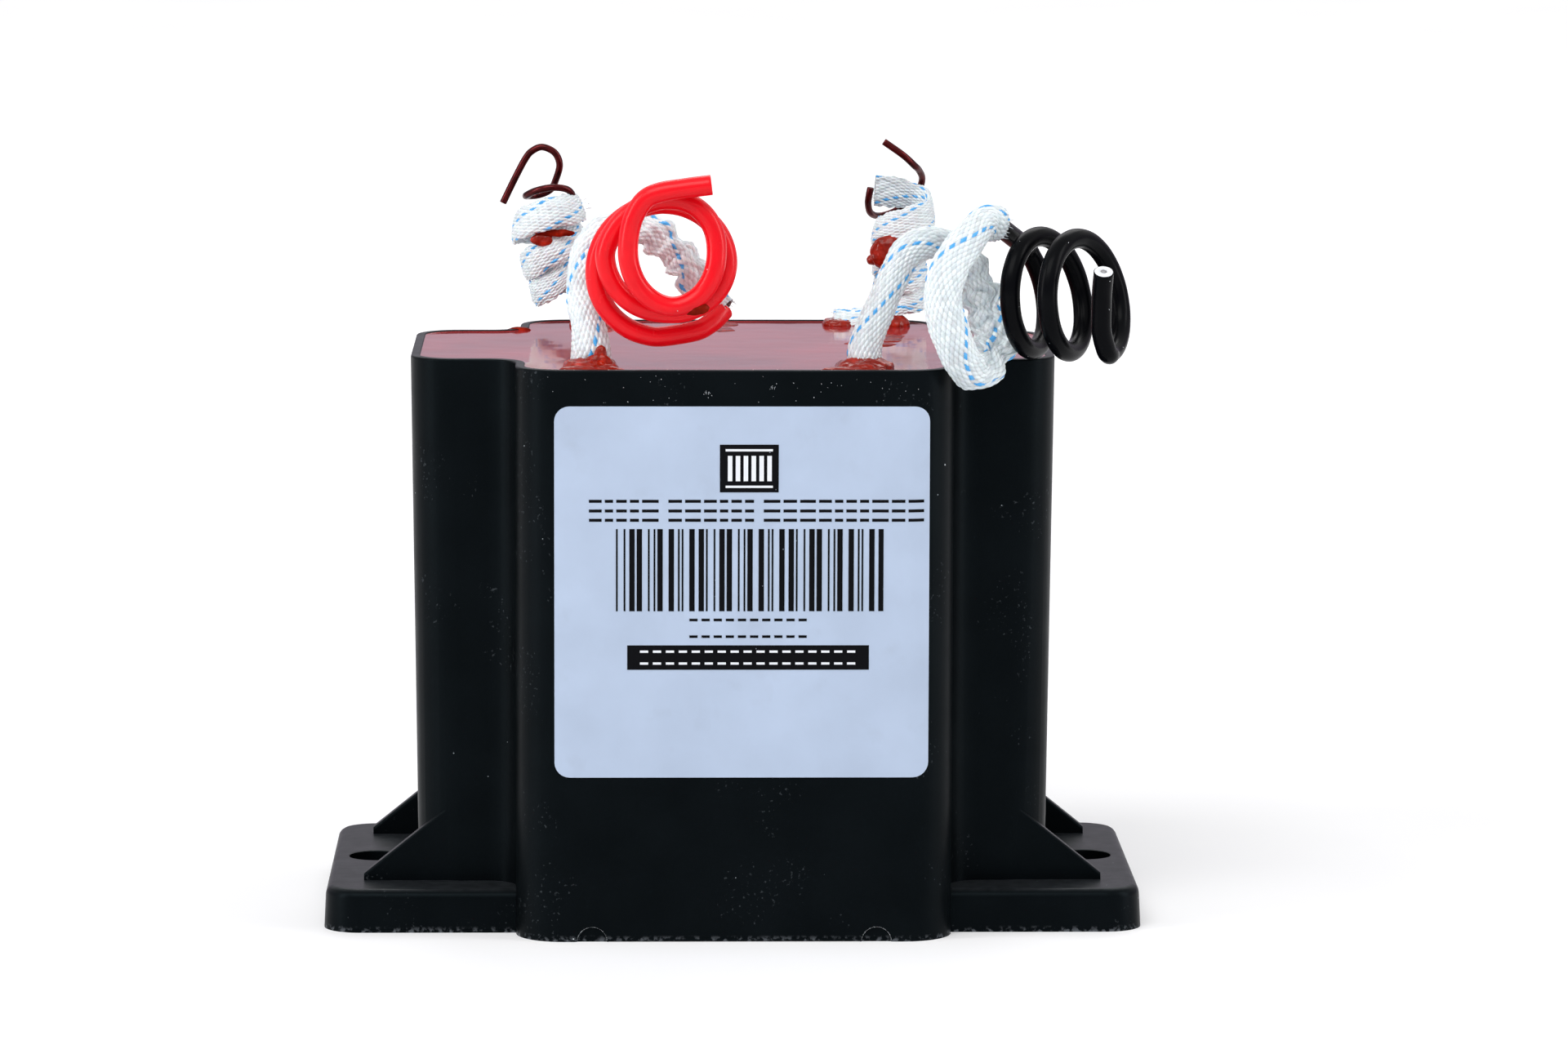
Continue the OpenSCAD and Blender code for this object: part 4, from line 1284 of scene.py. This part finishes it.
class BlackLeadOperator(bpy.types.Operator):
    """Braid the front right sleeve and coil its black wire"""
    bl_idname = "transformer.black_lead"
    bl_label = "Black lead"

    def execute(self, context):
        _, _, leads, finish, _ = settings(context)
        add_sleeve("black_lead_sleeve", BLACK_SLEEVE_ROUTE, leads, 12, ["black_sleeve"],
                   [("black_lead_fray", -1, 1, 34, 1.3, 0.13, 0.8, 22, 2.1)], seed=5.0,
                   tracers=(31, 38), crumple=0.045, shape=(
                       (0, 0.97, 1.05, 0), (0.1, 0.9, 1, 0.03), (0.3, 0.93, 0.95, 0.05),
                       (0.36, 1.2, 0.8, 0.3), (0.42, 1.28, 0.8, 0.8), (0.52, 1.25, 0.75, 0.9),
                       (0.58, 1.1, 0.8, 0.4), (0.66, 1.14, 0.8, 0.05), (0.82, 1.12, 0.8, 0.03),
                       (0.93, 0.96, 0.95, 0.03), (1, 1, 1.1, 0.1)))
        black = silicone_rubber("black_silicone", finish.black_wire, 0.3, 0.06)
        wire, line, at, frames = add_wire(
            "black_wire", black_coil_line(), (0.866, -0.5, 0), leads, 9.0, black,
            "black_silicone", "black_wire_start", "black_wire_coil", "black_wire_end")
        # The cut face: a white inner layer round the tinned strands
        tip, aim = line[-1], frames[0][-1]
        ends = [f[-2:] for f in frames]
        ring = round_cord("black_wire_cut", np.stack([tip - 0.1*aim, tip + 0.06*aim]), ends,
                          0.92*leads.wire_diameter, 32, leads.bore_diameter)
        hand_over(ring, silicone_rubber("white_silicone", "#eef1f4", 0.1, 0.3),
                  "black_silicone")
        core = round_cord("black_wire_core", np.stack([tip - 2*aim, tip + 0.02*aim]), ends,
                          leads.bore_diameter, 16)
        hand_over(core, bare_metal("tinned_copper", "#8a8a8c", 0.4), "bare_copper",
                  "black_conductor")
        return {"FINISHED"}


class PrimaryLeadsOperator(bpy.types.Operator):
    """Wind the two small sleeves and bend their enamelled copper wires"""
    bl_idname = "transformer.primary_leads"
    bl_label = "Primary leads"

    def copper(self, name, route, leads, material, node):
        """One enamelled wire along its route."""
        line, at = smooth_line(route, 0.2)
        frames = carried_sides(line, (0, 0, 1))
        wire = round_cord(name, line, frames, leads.copper_diameter, 20)
        hand_over(wire, material, "enamelled_copper", node)
        return wire, line, at

    def execute(self, context):
        _, _, leads, finish, _ = settings(context)
        weave = {"tracers": (2, 8, 14, 20), "crumple": 0.05, "steps": 5}
        tuft = (26, 1.2, 0.12, 0.7)
        add_sleeve("left_lead_sleeve",
                   [*LEFT_FOOT_ROUTE, *wound_line(LEFT_COIL_STATIONS, 0, 0.12, 3.0)],
                   leads, 41, ["left_sleeve_foot", "left_sleeve_coil"],
                   [("left_lead_sleeve_fray", -1, 1, *tuft, 71, 1.5)],
                   [(0, (1, 0, 0), 0), (0.06, (1, 0, 0.2), 0), (0.14, (-0.45, 0, 0.9), 0.2),
                    (0.6, (-0.45, 0, 0.9), 0.2), (0.72, (-0.3, 0, 1), 0.3),
                    (0.9, (-0.12, 0, 1), 0.4), (1, (0, 0, 1), 0.4)], (-25.4, 31), seed=41.0,
                   shape=((0, 0.9, 1.3, 0.1), (0.15, 0.85, 1, 0.2), (0.4, 0.97, 1.1, 0.16),
                          (0.75, 1.2, 1.6, 0.1), (1, 1.12, 1.4, 0.12)), **weave)
        enamel = enamelled_copper(finish.enamel)
        wire, line, at = self.copper("left_copper", LEFT_COPPER_ROUTE, leads, enamel,
                                     "left_copper_lead")
        # The right wire is too short to be a cord, so it is built as a piece of its own
        stub = self.copper("right_copper", RIGHT_COPPER_ROUTE, leads, enamel,
                           "right_copper_lead")[0]
        add_sleeve("right_lead_sleeve",
                   [*RIGHT_FOOT_ROUTE, *wound_line(RIGHT_COIL_STATIONS, -90, 0.0, 3.25),
                    *RIGHT_COIL_TAIL],
                   leads, 47, ["right_sleeve_foot", "right_sleeve_coil"],
                   [("right_lead_sleeve_tip", 0, -1, *tuft, 77, 1.5),
                    ("right_lead_sleeve_fray", -1, 1, *tuft, 77, 1.5)],
                   [(0, (0, 1, 0.6), 0), (0.05, (0, 1, 0.7), 0), (0.13, (0, 0.1, 1), 0.1),
                    (0.8, (0, 0, 1), 0.3), (1, (0, 0, 1), 0)], (24.4, 31), [stub], seed=47.0,
                   shape=((0, 0.95, 1.2, 0.1), (0.1, 0.95, 1.1, 0.16), (0.6, 0.97, 1.1, 0.14),
                          (0.9, 1, 0.9, 0.08), (1, 1.06, 0.55, 0.2)), **weave)
        return {"FINISHED"}


class InsideOperator(bpy.types.Operator):
    """Finish the pieces that the resin hides and the wires' conductors"""
    bl_idname = "transformer.inside"
    bl_label = "Sealed pieces"

    def execute(self, context):
        _, _, _, finish, _ = settings(context)
        # Silicon steel, punched and stacked: cold grey edges half a millimetre apart
        steel = banded("lamination_steel", "#85898e", "#3b3e42", 0.5, "Y", 0.9, 0.45)
        # Glass cloth tape: cream, with a close weave
        tape = banded("cloth_tape", "#dccb98", "#a89765", 0.6, "X", 0, 0.7)
        # Nylon, moulded: creamy and slightly glossy
        nylon = banded("natural_nylon", "#e8e2cf", "#d6cfb8", 4.0, "Z", 0, 0.4)
        # Enamelled copper, layer wound: brown with a line at each turn
        wound = banded("wound_copper", "#a3502c", "#5c2413", 0.5, "Z", 0.6, 0.3)
        # Polyimide film: amber and shiny, with its lapped edges
        amber = banded("barrier_film", "#cf963b", "#a06d22", 3.0, "Z", 0, 0.25)
        # Polyester tape: pale yellow and glossy
        yellow = banded("wrap_tape", "#e3d270", "#bfae4c", 6.0, "Z", 0, 0.3)
        # The leads' tails in the resin keep the plain stock of their solids
        enamel = bpy.data.materials["enamelled_copper"]
        dress = {
            "core_e_stack": steel, "core_i_stack": steel, "core_tape": tape,
            "coil_former": nylon, "sectioned_former": nylon, "hv_splices": nylon,
            "primary_winding": wound, "barrier_wrap": amber, "outer_wrap": yellow,
            "red_lead_tail": bpy.data.materials["red_silicone"],
            "black_lead_tail": bpy.data.materials["black_silicone"],
            "left_copper_tail": enamel, "right_copper_tail": enamel,
            "red_conductor": bare_metal("bare_copper", finish.copper, 0.3),
            **{f"secondary_section_{index}": wound for index in range(1, 6)}}
        for name, material in dress.items():
            dress_solid(name, material)
        return {"FINISHED"}


# Name, place, width, height and power of each soft box, in metres and watts
LAMPS = (
    ("key_softbox", (-0.25, -0.75, 0.95), 0.9, 0.6, 6.8),
    ("left_strip", (-0.9, -0.35, 0.35), 0.25, 0.9, 4.6),
    ("right_strip", (0.9, -0.25, 0.35), 0.25, 0.9, 3.8),
    ("rear_softbox", (0.1, 0.8, 0.9), 0.9, 0.5, 3.2))


class StudioOperator(bpy.types.Operator):
    """Set the floor, the lamps, the white surroundings and the camera"""
    bl_idname = "transformer.studio"
    bl_label = "Studio"

    def seen(self, owner):
        """Factor that is 1 for rays that show the surroundings."""
        camera = add_node(owner, "LightPath", out="Is Camera Ray")
        rays = camera.node.outputs
        both = add_node(owner, "Math", {0: camera, 1: rays["Is Glossy Ray"]},
                        operation="MAXIMUM")
        return add_node(owner, "Math", {0: both, 1: rays["Is Transmission Ray"]},
                        operation="MAXIMUM")

    def floor(self):
        """Pale floor that keeps the shadow and looks white elsewhere."""
        deselect()
        bpy.ops.mesh.primitive_plane_add(size=14, location=(0, 2, 0))
        ground = settle("studio_floor")
        ground.data.materials.clear()
        # Painted board: matt and pale, with a little light of its own to the eye, which
        # fades towards the part so that the shadow stays
        look = Look("painted_board")
        look.base = look.node("ValToRGB", {"Fac": look.grain(80)}, [
            (0.3, "#ececee"), (0.7, "#f2f2f3")])
        away = look.node("VectorMath", {0: look.place}, out="Value", operation="LENGTH")
        own = look.span(away, 0.15, 1.2, 0.18, 0.6)
        ground.data.materials.append(look.finish(
            Roughness=0.9, Emission_Color=(1, 1, 1, 1),
            Emission_Strength=look.maths(self.seen(look.material), own)))

    def surroundings(self, context, ambient):
        """World that is white to the eye and gives a plain soft light."""
        world = bpy.data.worlds.new("studio_white")
        world.use_nodes = True
        context.scene.world = world
        # White, but for a pale lavender band low down, where a room would begin
        way = add_node(world, "TexCoord", out="Generated")
        height = add_node(world, "SeparateXYZ", {"Vector": way}, out="Z")
        sky = add_node(world, "ValToRGB", {"Fac": height}, [
            (0.0, "#bfb7c6"), (0.22, "#c4bdcb"), (0.45, "#ffffff")])
        strength = add_node(world, "MapRange", {"Value": self.seen(world), "To Min": ambient,
                                                "To Max": 1.0})
        plug(world, world.node_tree.nodes["Background"], {"Color": sky, "Strength": strength})

    def lamp(self, name, place, width, height, power):
        """One soft box, aimed at the part."""
        lamp = bpy.data.lights.new(name, "AREA")
        lamp.shape = "RECTANGLE"
        lamp.size, lamp.size_y = width, height
        lamp.energy = power
        holder = link_new(name, lamp)
        holder.location = place
        aim = Vector((0, 0, 0.05)) - Vector(place)
        holder.rotation_euler = aim.to_track_quat("-Z", "Y").to_euler()

    def camera(self, context, studio):
        """Camera at the viewing angle of the photograph."""
        eye = bpy.data.cameras.new("camera")
        eye.lens = studio.focal
        eye.sensor_width = 36
        eye.clip_start, eye.clip_end = 0.01, 50
        holder = link_new("camera", eye)
        forward = Vector((-math.sin(studio.turn)*math.cos(studio.pitch),
                          math.cos(studio.turn)*math.cos(studio.pitch),
                          -math.sin(studio.pitch)))
        right = Vector((math.cos(studio.turn), math.sin(studio.turn), 0))
        up = right.cross(forward)
        cos, sin = math.cos(studio.roll), math.sin(studio.roll)
        right, up = right*cos + up*sin, up*cos - right*sin
        turn = Matrix((right, up, -forward)).transposed().to_4x4()
        holder.matrix_world = Matrix.Translation(studio.place) @ turn
        context.scene.camera = holder

    def execute(self, context):
        studio = settings(context)[4]
        self.floor()
        self.surroundings(context, studio.ambient)
        for row in LAMPS:
            self.lamp(*row)
        self.camera(context, studio)
        context.scene.view_settings.view_transform = "Standard"
        return {"FINISHED"}


class TransformerPanel(bpy.types.Panel):
    """Steps that build the transformer"""
    bl_label = "Transformer"
    bl_idname = "VIEW3D_PT_transformer"
    bl_space_type = "VIEW_3D"
    bl_region_type = "UI"
    bl_category = "Transformer"

    def draw(self, context):
        for step in OPERATORS:
            self.layout.operator(step.bl_idname)


GROUPS = {
    "transformer_case": CaseSettings, "transformer_resin": ResinSettings,
    "transformer_leads": LeadSettings, "transformer_finish": FinishSettings,
    "transformer_studio": StudioSettings}
OPERATORS = (StudioOperator, RedLeadOperator, BlackLeadOperator, PrimaryLeadsOperator,
             CaseOperator, ResinOperator, LabelOperator, SealantOperator, InsideOperator)


def register():
    for group in GROUPS.values():
        bpy.utils.register_class(group)
    for step in (*OPERATORS, TransformerPanel):
        bpy.utils.register_class(step)
    for name, group in GROUPS.items():
        setattr(bpy.types.Scene, name, bpy.props.PointerProperty(type=group))


def unregister():
    for name in GROUPS:
        delattr(bpy.types.Scene, name)
    for step in (TransformerPanel, *reversed(OPERATORS)):
        bpy.utils.unregister_class(step)
    for group in reversed(list(GROUPS.values())):
        bpy.utils.unregister_class(group)


def main():
    """Build every piece in order."""
    register()
    bpy.ops.transformer.studio()
    bpy.ops.transformer.red_lead()
    bpy.ops.transformer.black_lead()
    bpy.ops.transformer.primary_leads()
    bpy.ops.transformer.case()
    bpy.ops.transformer.resin()
    bpy.ops.transformer.label()
    bpy.ops.transformer.sealant()
    bpy.ops.transformer.inside()


if __name__ == "__main__":
    main()
